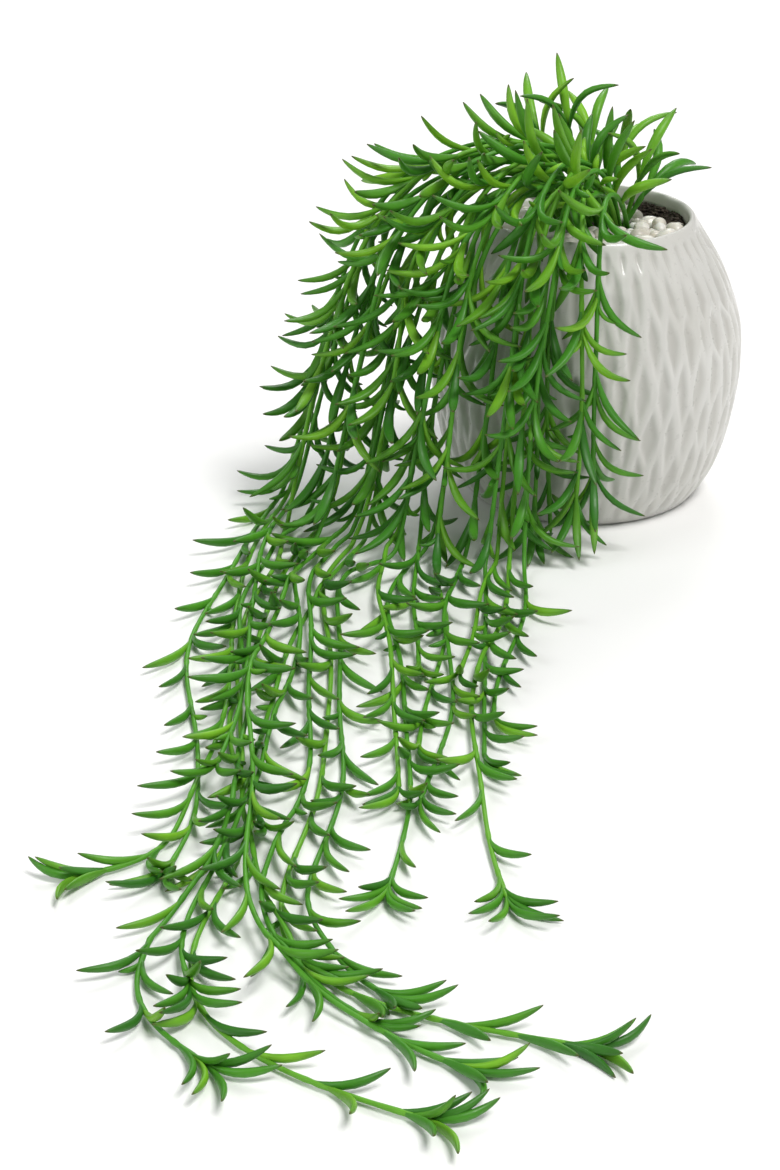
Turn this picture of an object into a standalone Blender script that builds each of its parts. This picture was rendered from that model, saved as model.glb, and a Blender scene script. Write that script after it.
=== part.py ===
"""Potted string of bananas: a ribbed ceramic pot, its soil and pebbles, and trailing leafy stems.

Metres, +Z up. The origin is the centre of the pot's foot, on the surface that it stands on.
The stems hang over the lip towards -X and -Y and lie along the surface from there.
"""
import math

import bmesh
import bpy
import numpy as np
from mathutils import Matrix, Vector

# Driving dimensions, in metres.
POT_HEIGHT = 0.1180
# outer wall of the pot: height, radius
POT_WALL = ((0.0000, 0.0475), (0.0015, 0.0490), (0.0095, 0.0544), (0.0200, 0.0587),
            (0.0340, 0.0620), (0.0500, 0.0643), (0.0600, 0.0647), (0.0700, 0.0641),
            (0.0785, 0.0624), (0.0935, 0.0570), (0.1040, 0.0513), (0.1115, 0.0466),
            (0.1155, 0.0440), (0.1180, 0.0415))
RIM_RADIUS = 0.0403
SOIL_TOP = 0.1087
PEBBLE_TOP = 0.1164
ROOT_DEPTH = 0.0100
CLUMP = (0.003, 0.006)
ROOT_PITCH = 0.00275

STEM_RADIUS = (0.00102, 0.00078)
LEAF_LENGTH = (0.0360, 0.0250)
LEAF_WIDTH = (0.0046, 0.0033)
CLEAR = 0.00035
HOLE_RADIUS = 0.0020
STEM_CORNER = 1.36
SEED = 7

# n stems, azimuths over the rim, height of the crest over the rim, where they come down,
# pitch of their lanes on the surface, how much of the guide the shortest one keeps
FAMILIES = (
    ("a", 4, (186, 203), 0.033, 0.130, 0.0055, 0.66,
     ((-0.134, -0.085), (-0.139, -0.150), (-0.141, -0.215), (-0.139, -0.270),
      (-0.142, -0.308), (-0.156, -0.327), (-0.170, -0.330), (-0.186, -0.328))),
    ("b", 3, (198, 212), 0.031, 0.124, 0.0055, 0.84,
     ((-0.122, -0.090), (-0.127, -0.165), (-0.130, -0.240), (-0.131, -0.300),
      (-0.141, -0.345), (-0.146, -0.374), (-0.140, -0.400), (-0.118, -0.418),
      (-0.094, -0.428), (-0.070, -0.438))),
    ("c", 5, (206, 224), 0.029, 0.116, 0.0060, 0.74,
     ((-0.106, -0.105), (-0.111, -0.180), (-0.114, -0.250), (-0.119, -0.305),
      (-0.116, -0.350), (-0.102, -0.382), (-0.074, -0.402), (-0.046, -0.410),
      (-0.026, -0.418), (-0.014, -0.430))),
    ("d", 4, (222, 236), 0.028, 0.104, 0.0048, 0.42,
     ((-0.074, -0.120), (-0.075, -0.190), (-0.077, -0.250), (-0.080, -0.300),
      (-0.078, -0.340))),
    ("e", 5, (235, 251), 0.027, 0.095, 0.0066, 0.45,
     ((-0.048, -0.130), (-0.052, -0.200), (-0.055, -0.262), (-0.055, -0.336))),
    ("f", 4, (250, 269), 0.022, 0.0735, 0.0, 0.74, ()),
    ("g", 6, (0, 360), 0.030, 0.030, 0.0, 0.8, ()),
)
# upright sprigs: direction in degrees, height over the lip, lean outwards
SPROUTS = ((14, 0.006, 0.007), (338, 0.011, 0.005), (95, 0.022, 0.005), (150, 0.026, 0.014),
           (200, 0.031, 0.006), (60, 0.014, 0.008))


def pot_radius(z):
    return np.interp(z, [p[0] for p in POT_WALL], [p[1] for p in POT_WALL])


def unit(v):
    return v / max(np.linalg.norm(v), 1e-12)


def spline(points, step):
    """Points every step along a smooth curve through the given ones."""
    p = np.array(points, float)
    p = np.vstack((2.0 * p[0] - p[1], p, 2.0 * p[-1] - p[-2]))
    out = []
    for a, b, c, d in zip(p[:-3], p[1:-2], p[2:-1], p[3:]):
        for t in np.linspace(0.0, 1.0, 24, endpoint=False):
            out.append(0.5 * (2 * b + (c - a) * t + (2 * a - 5 * b + 4 * c - d) * t * t
                              + (3 * b - a - 3 * c + d) * t ** 3))
    out.append(p[-2])
    return resample(np.array(out), step)


def resample(p, step):
    run = np.concatenate(([0.0], np.cumsum(np.linalg.norm(np.diff(p, axis=0), axis=1))))
    s = np.linspace(0.0, run[-1], max(int(round(run[-1] / step)), 2) + 1)
    return np.stack([np.interp(s, run, p[:, k]) for k in range(3)], axis=1)


def stem_routes():
    rng = np.random.RandomState(SEED)
    stems = []
    for name, count, az, crest, reach, lane, keep, guide in FAMILIES:
        for k in range(count):
            u = (k + 0.5) / count
            stems.append(dict(name="stem_%s%d" % (name, k + 1), family=name, k=k, u=u,
                              az=math.radians(az[0] + (az[1] - az[0]) * u),
                              crest=crest, reach=reach, lane=lane, guide=guide,
                              keep=1.0 - (1.0 - keep) * (((2 if count == 3 else 3) * k + 1) % count)
                              / max(count - 1, 1)))
    # roots in a sunflower spiral, each stem taking the free one nearest to its own side
    spots = []
    for k in range(len(stems)):
        a = k * 2.399963
        r = ROOT_PITCH * math.sqrt(k + 0.5)
        spots.append(np.array([CLUMP[0] + r * math.cos(a), CLUMP[1] + r * math.sin(a)]))
    order = sorted(range(len(stems)), key=lambda i: (stems[i]["family"] == "g", i % 3, i))
    for i in order:
        s = stems[i]
        if s["family"] == "g":
            a, back = math.radians(SPROUTS[s["k"]][0]), -0.012
            s["az"] = a
        else:
            a, back = s["az"], (0.004, -0.004, -0.010)[i % 3]
        want = np.array(CLUMP) + np.array([math.cos(a), math.sin(a)]) * -back
        j = min(range(len(spots)), key=lambda m: np.linalg.norm(spots[m] - want))
        s["root"] = spots.pop(j)
    for s in stems:
        x, y = s["root"]
        c, n = math.cos(s["az"]), math.sin(s["az"])
        along = (x - CLUMP[0]) * c + (y - CLUMP[1]) * n
        side = -(x - CLUMP[0]) * n + (y - CLUMP[1]) * c
        h = POT_HEIGHT
        z0 = SOIL_TOP - ROOT_DEPTH + 0.0003
        pts = [(x, y, z0), (x, y, z0 + 0.007), (x, y, z0 + 0.013)]
        if s["family"] == "g":
            deg, top, out = SPROUTS[s["k"]]
            for f, r in ((0.35, 0.12), (0.7, 0.45), (1.0, 1.0)):
                pts.append((x + c * out * r, y + n * out * r, h - 0.008 + (top + 0.008) * f))
            s["axis"] = spline(pts, 0.004)
            continue
        top = s["crest"] - 0.45 * along
        reach = s["reach"] - 0.5 * along + rng.uniform(-0.003, 0.003)
        lane = side * 0.6
        def at(r, z, sway=0.0):
            return (c * r - n * (lane + sway), n * r + c * (lane + sway), z)
        pts.append((x + c * 0.003, y + n * 0.003, h + 0.30 * top))
        if s["family"] == "f":
            pts.append(at(0.030, h + 0.95 * top))
            pts.append(at(0.050, h + 0.90 * top))
            pts.append(at(0.066, h + 0.10 * top))
            drop = 0.100 * s["keep"]
            for f in (0.3, 0.65, 1.0):
                pts.append(at(reach + 0.003 * f, h - 0.012 - drop * f, rng.uniform(-0.003, 0.003)))
        else:
            pts.append(at(0.026, h + 0.97 * top))
            pts.append(at(0.048, h + 0.92 * top))
            pts.append(at(0.60 * reach, h + 0.60 * top, rng.uniform(-0.002, 0.002)))
            pts.append(at(0.74 * reach, h - 0.004, rng.uniform(-0.003, 0.003)))
            pts.append(at(0.86 * reach, 0.066, rng.uniform(-0.003, 0.003)))
            pts.append(at(0.94 * reach, 0.028, rng.uniform(-0.003, 0.003)))
            pts.append(at(1.00 * reach, 0.006, rng.uniform(-0.003, 0.003)))
            g = np.array([(p[0], p[1], 0.0) for p in s["guide"]])
            g = spline(g, 0.010)
            g = g[:max(int(len(g) * s["keep"]), 3)]
            t = np.gradient(g, axis=0)
            t /= np.linalg.norm(t, axis=1)[:, None]
            nrm = np.stack((t[:, 1], -t[:, 0], t[:, 2] * 0), axis=1)
            count = [f[1] for f in FAMILIES if f[0] == s["family"]][0]
            # the lanes keep the order of the azimuths: the first stem is the outermost on the left
            off = (s["k"] - (count - 1) / 2.0) * s["lane"]
            ph = rng.uniform(0, 6.283, 3)
            q = np.arange(len(g)) * 0.010
            sway = 0.0062 * np.sin(q * 21 + ph[0]) + 0.0022 * np.sin(q * 52 + ph[1])
            layer = stems.index(s) * 2 % 5
            up = 0.0020 + 0.0030 * layer * (0.85 + 0.15 * np.sin(q * 30 + ph[2]))
            up[-4:] *= (0.85, 0.7, 0.55, 0.45)
            line = g - nrm * (off + sway)[:, None]
            line[:, 2] = up
            step = 3
            pts += [tuple(v) for v in line[::step]]
        s["axis"] = spline(pts, 0.004)
    return relax(stems)


def relax(stems, rounds=48, strict=64):
    """Pushes the stems apart, out of the pot and onto the surface."""
    pts = np.vstack([s["axis"] for s in stems])
    own = np.concatenate([np.full(len(s["axis"]), i) for i, s in enumerate(stems)])
    idx = np.concatenate([np.arange(len(s["axis"])) for s in stems])
    last = np.concatenate([np.full(len(s["axis"]), len(s["axis"]) - 1) for s in stems])
    fixed = idx < 4
    inner = np.nonzero((idx > 3) & (idx < last))[0]
    rank = own * 2 % 5 + own / 100.0
    for turn in range(rounds + strict):
        firm = turn >= rounds
        if turn % 8 == 0:
            near = [(np.zeros(0, int), np.zeros(0, int))]
            for k in range(0, len(pts), 400):
                block = pts[k:k + 400]
                gap = np.abs(block[:, None, :] - pts[None, :, :]).max(-1)
                i, j = np.nonzero(gap < 0.010)
                i += k
                use = (i < j) & (own[i] != own[j])
                near.append((i[use], j[use]))
            i = np.concatenate([n[0] for n in near])
            j = np.concatenate([n[1] for n in near])
        r = np.hypot(pts[:, 0], pts[:, 1])
        want = np.interp(r, (0.010, 0.040, 0.080, 0.140), (0.0040, 0.0046, 0.0050, 0.0040))
        if firm:
            want = np.interp(r, (0.060, 0.140), (0.0044, 0.0040))
        d = pts[i] - pts[j]
        room = np.minimum(want[i], want[j])
        dist = np.maximum(np.linalg.norm(d, axis=1), 1e-6)
        need = np.maximum(0.0, room - dist) * (0.5 if firm else 0.4)
        # on the surface a stem of a higher rank passes over one of a lower rank
        ahead = np.zeros_like(pts)
        ahead[inner] = pts[inner + 1] - pts[inner - 1]
        steep = np.abs(ahead[:, 2]) / np.maximum(np.linalg.norm(ahead, axis=1), 1e-9)
        lies = (r > 0.085) & (pts[:, 2] < 0.030) & (steep < 0.6)
        flat = np.hypot(d[:, 0], d[:, 1])
        rise = np.sqrt(np.maximum(0.0, room ** 2 - flat ** 2))
        over = np.where(rank[i] > rank[j], 1.0, -1.0)
        lift = np.where(lies[i] & lies[j], over * np.maximum(0.0, rise - over * d[:, 2]) * 0.5, 0.0)
        d *= (need / dist)[:, None]
        d = np.where((lies[i] & lies[j])[:, None], 0.25 * d, d)
        d[:, 2] += lift
        push = np.zeros_like(pts)
        for k in range(3):
            push[:, k] = (np.bincount(i, d[:, k], len(pts)) - np.bincount(j, d[:, k], len(pts)))
        big = np.linalg.norm(push, axis=1)
        push *= np.minimum(1.0, 0.0010 / np.maximum(big, 1e-9))[:, None]
        push[fixed] = 0.0
        # what lies loose settles
        low = (r > 0.09) & (pts[:, 2] < 0.03) & ~fixed
        push[:, 2] -= np.where(low, 0.0 if firm else 0.00015, 0.0)
        pts += push
        mid = 0.5 * (pts[inner - 1] + pts[inner + 1]) - pts[inner]
        pts[inner] += (0.05 if firm else 0.35) * mid
        r = np.maximum(np.hypot(pts[:, 0], pts[:, 1]), 1e-6)
        z = pts[:, 2]
        clear = pot_radius(z) + 0.0042
        hit = (r > 0.052) & (z < POT_HEIGHT + 0.001) & (r < clear) & ~fixed
        scale = np.where(hit, clear / r, 1.0)
        pts[:, :2] *= scale[:, None]
        lip = POT_HEIGHT + 0.0035
        over = (r > 0.034) & (r <= 0.052) & (z < lip) & ~fixed
        pts[:, 2] = np.where(over, lip, pts[:, 2])
        pts[:, 2] = np.where(r > 0.052, np.maximum(pts[:, 2], 0.0019), pts[:, 2])
    for i, s in enumerate(stems):
        s["axis"] = pts[own == i]
    return stems


def thin(p, tol):
    """The fewest of the points that keep within tol of the line through them."""
    keep = np.zeros(len(p), bool)
    keep[0] = keep[-1] = True
    spans = [(0, len(p) - 1)]
    while spans:
        a, b = spans.pop()
        if b - a < 2:
            continue
        t = p[b] - p[a]
        n = max(np.linalg.norm(t), 1e-9)
        q = p[a + 1:b] - p[a]
        along = np.clip(q @ t / n / n, 0.0, 1.0)
        off = np.linalg.norm(q - along[:, None] * t, axis=1)
        m = int(off.argmax())
        if off[m] > tol:
            keep[a + 1 + m] = True
            spans += [(a, a + 1 + m), (a + 1 + m, b)]
    return np.nonzero(keep)[0]


def run_of(p):
    return np.concatenate(([0.0], np.cumsum(np.linalg.norm(np.diff(p, axis=0), axis=1))))


def leaf_stations(leaf, ts):
    """Points, headings and inward normals of a leaf's arc at shares ts of its length."""
    n = 60
    t = (np.arange(n) + 0.5) / n
    # the bend gathers in the middle and the tip straightens a little
    turn = leaf["lift"] + leaf["bend"] * (t - 0.12 * np.sin(2 * math.pi * t))
    step = np.stack((np.cos(turn), np.sin(turn)), axis=1) * (leaf["length"] / n)
    path = np.vstack(([0.0, 0.0], np.cumsum(step, axis=0)))
    grid = np.arange(n + 1) / n
    x, y = np.interp(ts, grid, path[:, 0]), np.interp(ts, grid, path[:, 1])
    before = np.minimum(ts, 0.0) * leaf["length"]
    x = x + before * math.cos(leaf["lift"])
    y = y + before * math.sin(leaf["lift"])
    ts = np.maximum(ts, 0.0)
    a = leaf["lift"] + leaf["bend"] * (ts - 0.12 * np.sin(2 * math.pi * ts))
    side = np.cross(leaf["tangent"], leaf["normal"])
    drift = leaf["drift"] * ts * ts * leaf["length"]
    point = (leaf["base"] + x[:, None] * leaf["tangent"] + y[:, None] * leaf["normal"]
             + drift[:, None] * side)
    head = np.cos(a)[:, None] * leaf["tangent"] + np.sin(a)[:, None] * leaf["normal"]
    inward = -np.sin(a)[:, None] * leaf["tangent"] + np.cos(a)[:, None] * leaf["normal"]
    return point, head, inward, side


# a leaf's solid: shares of its length and of its width, from inside the stem to the tip
CAD_T = np.array([-0.03, 0.30, 0.70, 1.0])
CAD_W = np.array([0.0, 1.0, 0.78, 0.0])
# half width, flat side and ridge of a leaf's three-sided section, in widths
SECTION = (0.50, 0.24, 0.42)


def leaf_beads(leaf, slim=1.0):
    p = leaf_stations(leaf, CAD_T)[0]
    run = run_of(p)
    n = max(int(run[-1] / 0.0009), 6)
    s = (np.arange(n) + 0.5) / n * run[-1]
    xyz = np.stack([np.interp(s, run, p[:, k]) for k in range(3)], axis=1)
    rad = np.interp(s, run, CAD_W) * leaf["width"] * 0.555 * slim
    return xyz, rad


class Crowd:
    """Beads of all that is placed, in groups, to ask what is near."""
    def __init__(self):
        self.centre, self.reach, self.beads, self.owner = [], [], [], []

    def add(self, xyz, rad, owner):
        c = xyz.mean(axis=0)
        self.centre.append(c)
        self.reach.append(float((np.linalg.norm(xyz - c, axis=1) + rad).max()))
        self.beads.append((xyz, rad))
        self.owner.append(owner)

    def freeze(self):
        self.c, self.r, self.o = np.array(self.centre), np.array(self.reach), np.array(self.owner)

    def room(self, xyz, rad, own, skip_stem, skip_leaf, gap):
        c = xyz.mean(axis=0)
        reach = float((np.linalg.norm(xyz - c, axis=1) + rad).max())
        near = np.nonzero(np.linalg.norm(self.c - c, axis=1) < self.r + reach + gap)[0]
        worst = 1.0
        for g in near:
            p, q = self.beads[g]
            a, b = xyz, rad
            if self.o[g] == own:
                a, b = xyz[skip_stem:], rad[skip_stem:]
            elif self.o[g] == own + 1000:
                a, b = xyz[skip_leaf:], rad[skip_leaf:]
            if len(a):
                d = np.linalg.norm(a[:, None, :] - p[None, :, :], axis=2) - b[:, None] - q[None, :]
                worst = min(worst, float(d.min()))
                if worst < gap:
                    break
        return worst


def outside_pot(xyz, rad, gap):
    r = np.hypot(xyz[:, 0], xyz[:, 1])
    z = xyz[:, 2]
    if (z - rad < 0.0004).any():
        return False
    wall = (r > RIM_RADIUS - rad - gap) & (z < POT_HEIGHT + rad + gap)
    if (wall & (r < pot_radius(z) + rad + gap + 0.0004)).any():
        return False
    inside = r <= RIM_RADIUS - rad - gap
    return not (inside & (z < PEBBLE_TOP + rad + gap)).any()


def place_leaves(stems, extra=False):
    """Leaves of every stem; extra adds those between them that the solids leave out."""
    rng = np.random.RandomState(SEED + 1)
    crowd = Crowd()
    for i, s in enumerate(stems):
        keep = thin(s["axis"], 0.0008)
        s["cad"] = s["axis"][keep]
        run = run_of(s["cad"])
        s["run"] = run
        s["size"] = min(1.0, run[-1] / 0.30) if s["family"] in "fg" else 1.0
        m = max(int(run[-1] / 0.0011), 4)
        q = np.linspace(0, run[-1], m)
        xyz = np.stack([np.interp(q, run, s["cad"][:, k]) for k in range(3)], axis=1)
        share = q / run[-1]
        rad = np.interp(share * s["size"], (0, 1), STEM_RADIUS) * STEM_CORNER
        for k in range(0, m, 24):
            crowd.add(xyz[k:k + 25], rad[k:k + 25], i)
    crowd.freeze()
    leaves = []
    for turn in ((1, 2) if extra else (1,)):
        todo = []
        for i, s in enumerate(stems):
            run = s["run"]
            total = run[-1]
            z = np.interp(np.linspace(0, total, 200), run, s["cad"][:, 2])
            start = float(np.linspace(0, total, 200)[np.argmax(z > PEBBLE_TOP + 0.004)])
            q = start + (0.004 if turn == 1 else 0.012)
            k = 0
            while q < total - 0.004:
                share = (q / total * s["size"]) ** 1.5
                size = LEAF_LENGTH[0] + (LEAF_LENGTH[1] - LEAF_LENGTH[0]) * share
                todo.append((q / total, i, q, k, size, False))
                q += size * 0.98 * (1.0 + 0.12 * math.sin(9.1 * k + i * 2.3))
                k += 1
            for e in ((0, 1, 2), (3, 4), (5, 6))[turn - 1]:
                todo.append((1.0, i, total - 0.0012 - 0.0014 * e, k + e,
                             LEAF_LENGTH[0] + (LEAF_LENGTH[1] - LEAF_LENGTH[0]) * s["size"], True))
        # tips first: they show most
        todo.sort(key=lambda a: (-a[0], a[1], a[3]))
        for share, i, q, k, size, tip in todo:
            s = stems[i]
            run, line = s["run"], s["cad"]
            base = np.array([np.interp(q, run, line[:, c]) for c in range(3)])
            ahead = np.array([np.interp(min(q + 0.003, run[-1]), run, line[:, c]) for c in range(3)])
            behind = np.array([np.interp(q - 0.003, run, line[:, c]) for c in range(3)])
            t = unit(ahead - behind)
            e = np.array([0.0, 0.0, 1.0])
            if abs(t[2]) > 0.8:
                e = np.array([0.0, -1.0, 0.0])
            x = unit(np.cross(t, e))
            y = np.cross(x, t)
            first = rng.uniform(0, 2 * math.pi)
            vary = rng.uniform(-1, 1, 5)
            lies = base[2] < 0.030 and abs(t[2]) < 0.6 and math.hypot(base[0], base[1]) > 0.07
            best = None
            crown = math.hypot(base[0], base[1]) < 0.045
            if turn == 3 and (crown or base[2] < 0.050 and base[1] > -0.300):
                continue
            if turn > 1 and s["family"] == "g" and s["k"] < 2:
                continue
            for j in range(26):
                psi = first + j * 2.399963
                if lies:
                    # to either side of a stem that lies down, rising as little as there is room
                    rise = math.radians(4 + 9 * first / math.pi + 7 * (j // 2))
                    psi = rise if (k + j + i) % 2 else math.pi - rise
                wide = 1.0 - 0.012 * j
                leaf = dict(stem=i, at=q, turn=turn, tip=tip, base=base, tangent=t,
                            normal=math.cos(psi) * x + math.sin(psi) * y,
                            length=size * (1.0 + 0.13 * vary[0]) * wide,
                            width=LEAF_WIDTH[1] + (LEAF_WIDTH[0] - LEAF_WIDTH[1])
                            * (size - LEAF_LENGTH[1]) / (LEAF_LENGTH[0] - LEAF_LENGTH[1]),
                            lift=math.radians(8 + 4 * vary[1] if lies else 16 + 7 * vary[1]),
                            bend=math.radians((47 + 20 * vary[2]) if lies else (50 if tip else 62) + 22 * vary[2])
                            * (1.0 - 0.010 * j),
                            drift=0.10 * vary[3], tone=vary[4])
                xyz, rad = leaf_beads(leaf, 1.0 if turn == 1 else 0.8)
                gap = CLEAR if turn == 1 else -0.0002
                if not outside_pot(xyz, rad, gap):
                    continue
                n = len(rad)
                if crowd.room(xyz, rad, i, int(0.50 * n), int((0.50 if tip else 0.14) * n),
                              gap) >= gap:
                    best = leaf
                    break
            if best is not None:
                leaves.append(best)
                crowd.add(xyz, rad, i + 1000)
                crowd.freeze()
    return leaves


# The pot's net of long staggered cells.
NET_COLUMNS = 88
NET_ROWS = 6
NET_FOOT = 0.0045
NET_TOP = 0.1142
NET_DEPTH = 0.0014
TURNS = NET_COLUMNS // 2
# inside of the pot: height, radius
POT_CAVITY = ((0.1240, 0.0416), (0.1180, 0.0416), (0.1166, 0.0405), (0.1135, 0.0402),
              (0.0620, 0.0578), (0.0300, 0.0552), (0.0065, 0.0410))
SOIL_GAP = 0.0003
HOLE_SIDES = 5
BED_BOTTOM = SOIL_TOP + 0.0003
BED_TOP = BED_BOTTOM + 0.0020
BED_RADIUS = 0.0378
BED_HOLE = 0.0184
BED_REACH = 0.0398
PEBBLES = 38
BARE_SECTOR = (8, 58)
BARE_REACH = 0.0345

POT_COLOUR = (0.80, 0.79, 0.76, 1.0)
SOIL_COLOUR = (0.035, 0.028, 0.020, 1.0)
PEBBLE_COLOUR = (0.82, 0.81, 0.77, 1.0)
LEAF_COLOUR = (0.065, 0.255, 0.030, 1.0)


def clear_scene():
    for ob in list(bpy.data.objects):
        bpy.data.objects.remove(ob, do_unlink=True)


def new_collection(name):
    coll = bpy.data.collections.new(name)
    bpy.context.scene.collection.children.link(coll)
    return coll


def material(name, colour, roughness, metallic=0.0):
    mat = bpy.data.materials.new(name)
    mat.use_nodes = True
    bsdf = mat.node_tree.nodes["Principled BSDF"]
    bsdf.inputs["Base Color"].default_value = colour
    bsdf.inputs["Roughness"].default_value = roughness
    bsdf.inputs["Metallic"].default_value = metallic
    return mat


def add_object(name, mesh, coll, mat=None):
    ob = bpy.data.objects.new(name, mesh)
    coll.objects.link(ob)
    if mat is not None:
        mesh.materials.append(mat)
    return ob


def mesh_of(bm, name):
    bmesh.ops.recalc_face_normals(bm, faces=bm.faces)
    mesh = bpy.data.meshes.new(name)
    bm.to_mesh(mesh)
    bm.free()
    return mesh


def baked(ob):
    """The object's evaluated mesh, with its modifiers applied."""
    bpy.context.view_layer.update()
    deps = bpy.context.evaluated_depsgraph_get()
    return bpy.data.meshes.new_from_object(ob.evaluated_get(deps))


def as_cutter(ob):
    ob.hide_render = True
    ob.display_type = "WIRE"
    return ob


def turned(name, profile, steps, coll, mat=None):
    """A closed solid turned from (height, radius) pairs that run from top to bottom."""
    mesh = bpy.data.meshes.new(name)
    verts = [(0.0, 0.0, profile[0][0])] + [(r, 0.0, z) for z, r in profile]
    verts.append((0.0, 0.0, profile[-1][0]))
    mesh.from_pydata(verts, [(i, i + 1) for i in range(len(verts) - 1)], [])
    ob = add_object(name, mesh, coll, mat)
    screw = ob.modifiers.new("turn", "SCREW")
    screw.axis = "Z"
    screw.angle = 2.0 * math.pi
    screw.steps = steps
    screw.render_steps = steps
    screw.use_merge_vertices = True
    screw.merge_threshold = 0.00001
    screw.use_normal_calculate = True
    return ob


def boolean(ob, operation, other, solver="EXACT"):
    mod = ob.modifiers.new(operation.lower(), "BOOLEAN")
    mod.operation = operation
    mod.solver = solver
    if isinstance(other, bpy.types.Collection):
        mod.operand_type = "COLLECTION"
        mod.collection = other
    else:
        mod.object = other
    return mod


# The pot.
def hashed(i, j, k):
    """An even draw in -1 to 1 that depends only on the three numbers."""
    v = math.sin(12.9898 * (i % NET_COLUMNS) + 78.233 * j + 37.719 * k) * 43758.5453
    return 2.0 * (v - math.floor(v)) - 1.0


def net_joint(i, j):
    """Angle and height of a joint of the net, or of a cell's middle between the joints."""
    step = 2.0 * math.pi / NET_COLUMNS
    edge = j in (0, NET_ROWS)
    angle = step * (i + (0.0 if edge else 0.30) * hashed(i, j, 1))
    row = j + (0.0 if edge else 0.30) * hashed(i, j, 2)
    return angle, NET_FOOT + (NET_TOP - NET_FOOT) * row / NET_ROWS


def pot_outer():
    bm = bmesh.new()

    def vert(angle, z, sink=0.0):
        r = float(pot_radius(z)) - sink
        return bm.verts.new((r * math.cos(angle), r * math.sin(angle), z))

    grid = []
    for j in range(NET_ROWS + 1):
        row = []
        for i in range(NET_COLUMNS):
            angle, z = net_joint(i, j)
            low = (i + j) % 2 == 1
            depth = (0.35 if j in (0, NET_ROWS) else 1.0) * NET_DEPTH
            row.append(vert(angle, z, depth if low else 0.0))
        grid.append(row)
    # each ridge crosses its quad from joint to joint, with a vertex half way
    for j in range(NET_ROWS):
        for i in range(NET_COLUMNS):
            a0, z0 = net_joint(i, j) if (i + j) % 2 == 0 else net_joint(i + 1, j)
            a1, z1 = net_joint(i + 1, j + 1) if (i + j) % 2 == 0 else net_joint(i, j + 1)
            soft = 0.35 * max(0.0, hashed(i, j, 3))
            mid = vert(0.5 * (a0 + a1), 0.5 * (z0 + z1), soft * NET_DEPTH)
            k = (i + 1) % NET_COLUMNS
            ring = (grid[j][i], grid[j][k], grid[j + 1][k], grid[j + 1][i])
            for n in range(4):
                bm.faces.new((ring[n], ring[(n + 1) % 4], mid))
    # plain foot and lip, with half as many corners
    def plain(z, r):
        out = []
        for i in range(TURNS):
            a = 2.0 * math.pi * i / TURNS
            out.append(bm.verts.new((r * math.cos(a), r * math.sin(a), z)))
        return out

    def halve(fine, coarse, upward):
        for i in range(TURNS):
            k = (i + 1) % TURNS
            f = (fine[2 * i], fine[2 * i + 1], fine[(2 * i + 2) % NET_COLUMNS])
            tris = ((f[0], f[1], coarse[i]), (f[1], coarse[k], coarse[i]), (f[1], f[2], coarse[k]))
            for t in tris:
                bm.faces.new(t if upward else t[::-1])

    def band(a, b):
        for i in range(TURNS):
            k = (i + 1) % TURNS
            bm.faces.new((a[i], a[k], b[k], b[i]))

    foot = plain(0.0, 0.0478)
    halve(grid[0], foot, False)
    bm.faces.new(foot[::-1])
    shoulder = plain(0.1158, 0.0440)
    crest = plain(0.1176, 0.0428)
    top = plain(0.1180, 0.0420)
    halve(grid[NET_ROWS], shoulder, True)
    band(shoulder, crest)
    band(crest, top)
    bm.faces.new(top)
    return mesh_of(bm, "pot")


def build_pot(parts, tools, mat):
    pot = add_object("pot", pot_outer(), parts, mat)
    cavity = as_cutter(turned("pot_cavity", POT_CAVITY, TURNS, tools))
    boolean(pot, "DIFFERENCE", cavity)
    return pot


# The soil and the pebbles.
def build_soil(parts, tools, mat, stems):
    cavity = [(z, r) for z, r in POT_CAVITY if z < SOIL_TOP]
    top = float(np.interp(SOIL_TOP, [p[0] for p in POT_CAVITY[::-1]],
                          [p[1] for p in POT_CAVITY[::-1]]))
    profile = [(SOIL_TOP, top - 2 * SOIL_GAP)]
    profile += [(z, r - 2 * SOIL_GAP) for z, r in cavity[:-1]]
    profile.append((cavity[-1][0] + SOIL_GAP, cavity[-1][1] - 2 * SOIL_GAP))
    soil = turned("soil", profile, TURNS // 2, parts, mat)
    bm = bmesh.new()
    for s in stems:
        x, y = s["root"]
        hole = bmesh.ops.create_cone(bm, cap_ends=True, segments=HOLE_SIDES, depth=0.03,
                                     radius1=HOLE_RADIUS, radius2=HOLE_RADIUS)
        low = SOIL_TOP - ROOT_DEPTH
        bmesh.ops.translate(bm, verts=hole["verts"], vec=(x, y, low + 0.015))
    holes = as_cutter(add_object("stem_holes", mesh_of(bm, "stem_holes"), tools))
    boolean(soil, "DIFFERENCE", holes)
    return soil


def bed_radius(angle):
    """How far the pebbles reach, short of the wall on one side."""
    low, high = (math.radians(a) for a in BARE_SECTOR)
    inside = low < angle % (2.0 * math.pi) < high
    return BARE_REACH if inside else BED_REACH


def on_bed(x, y):
    """True where the slab under the pebbles is whole."""
    low, high = (math.radians(a) for a in BARE_SECTOR)
    near_gap = low - 0.32 < math.atan2(y, x) % (2.0 * math.pi) < high + 0.32
    edge = BARE_REACH - 0.002 if near_gap else BED_RADIUS
    off_hole = math.hypot(x - CLUMP[0], y - CLUMP[1]) - BED_HOLE
    return off_hole > 0.0008 and math.hypot(x, y) < 0.985 * edge - 0.0008


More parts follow.
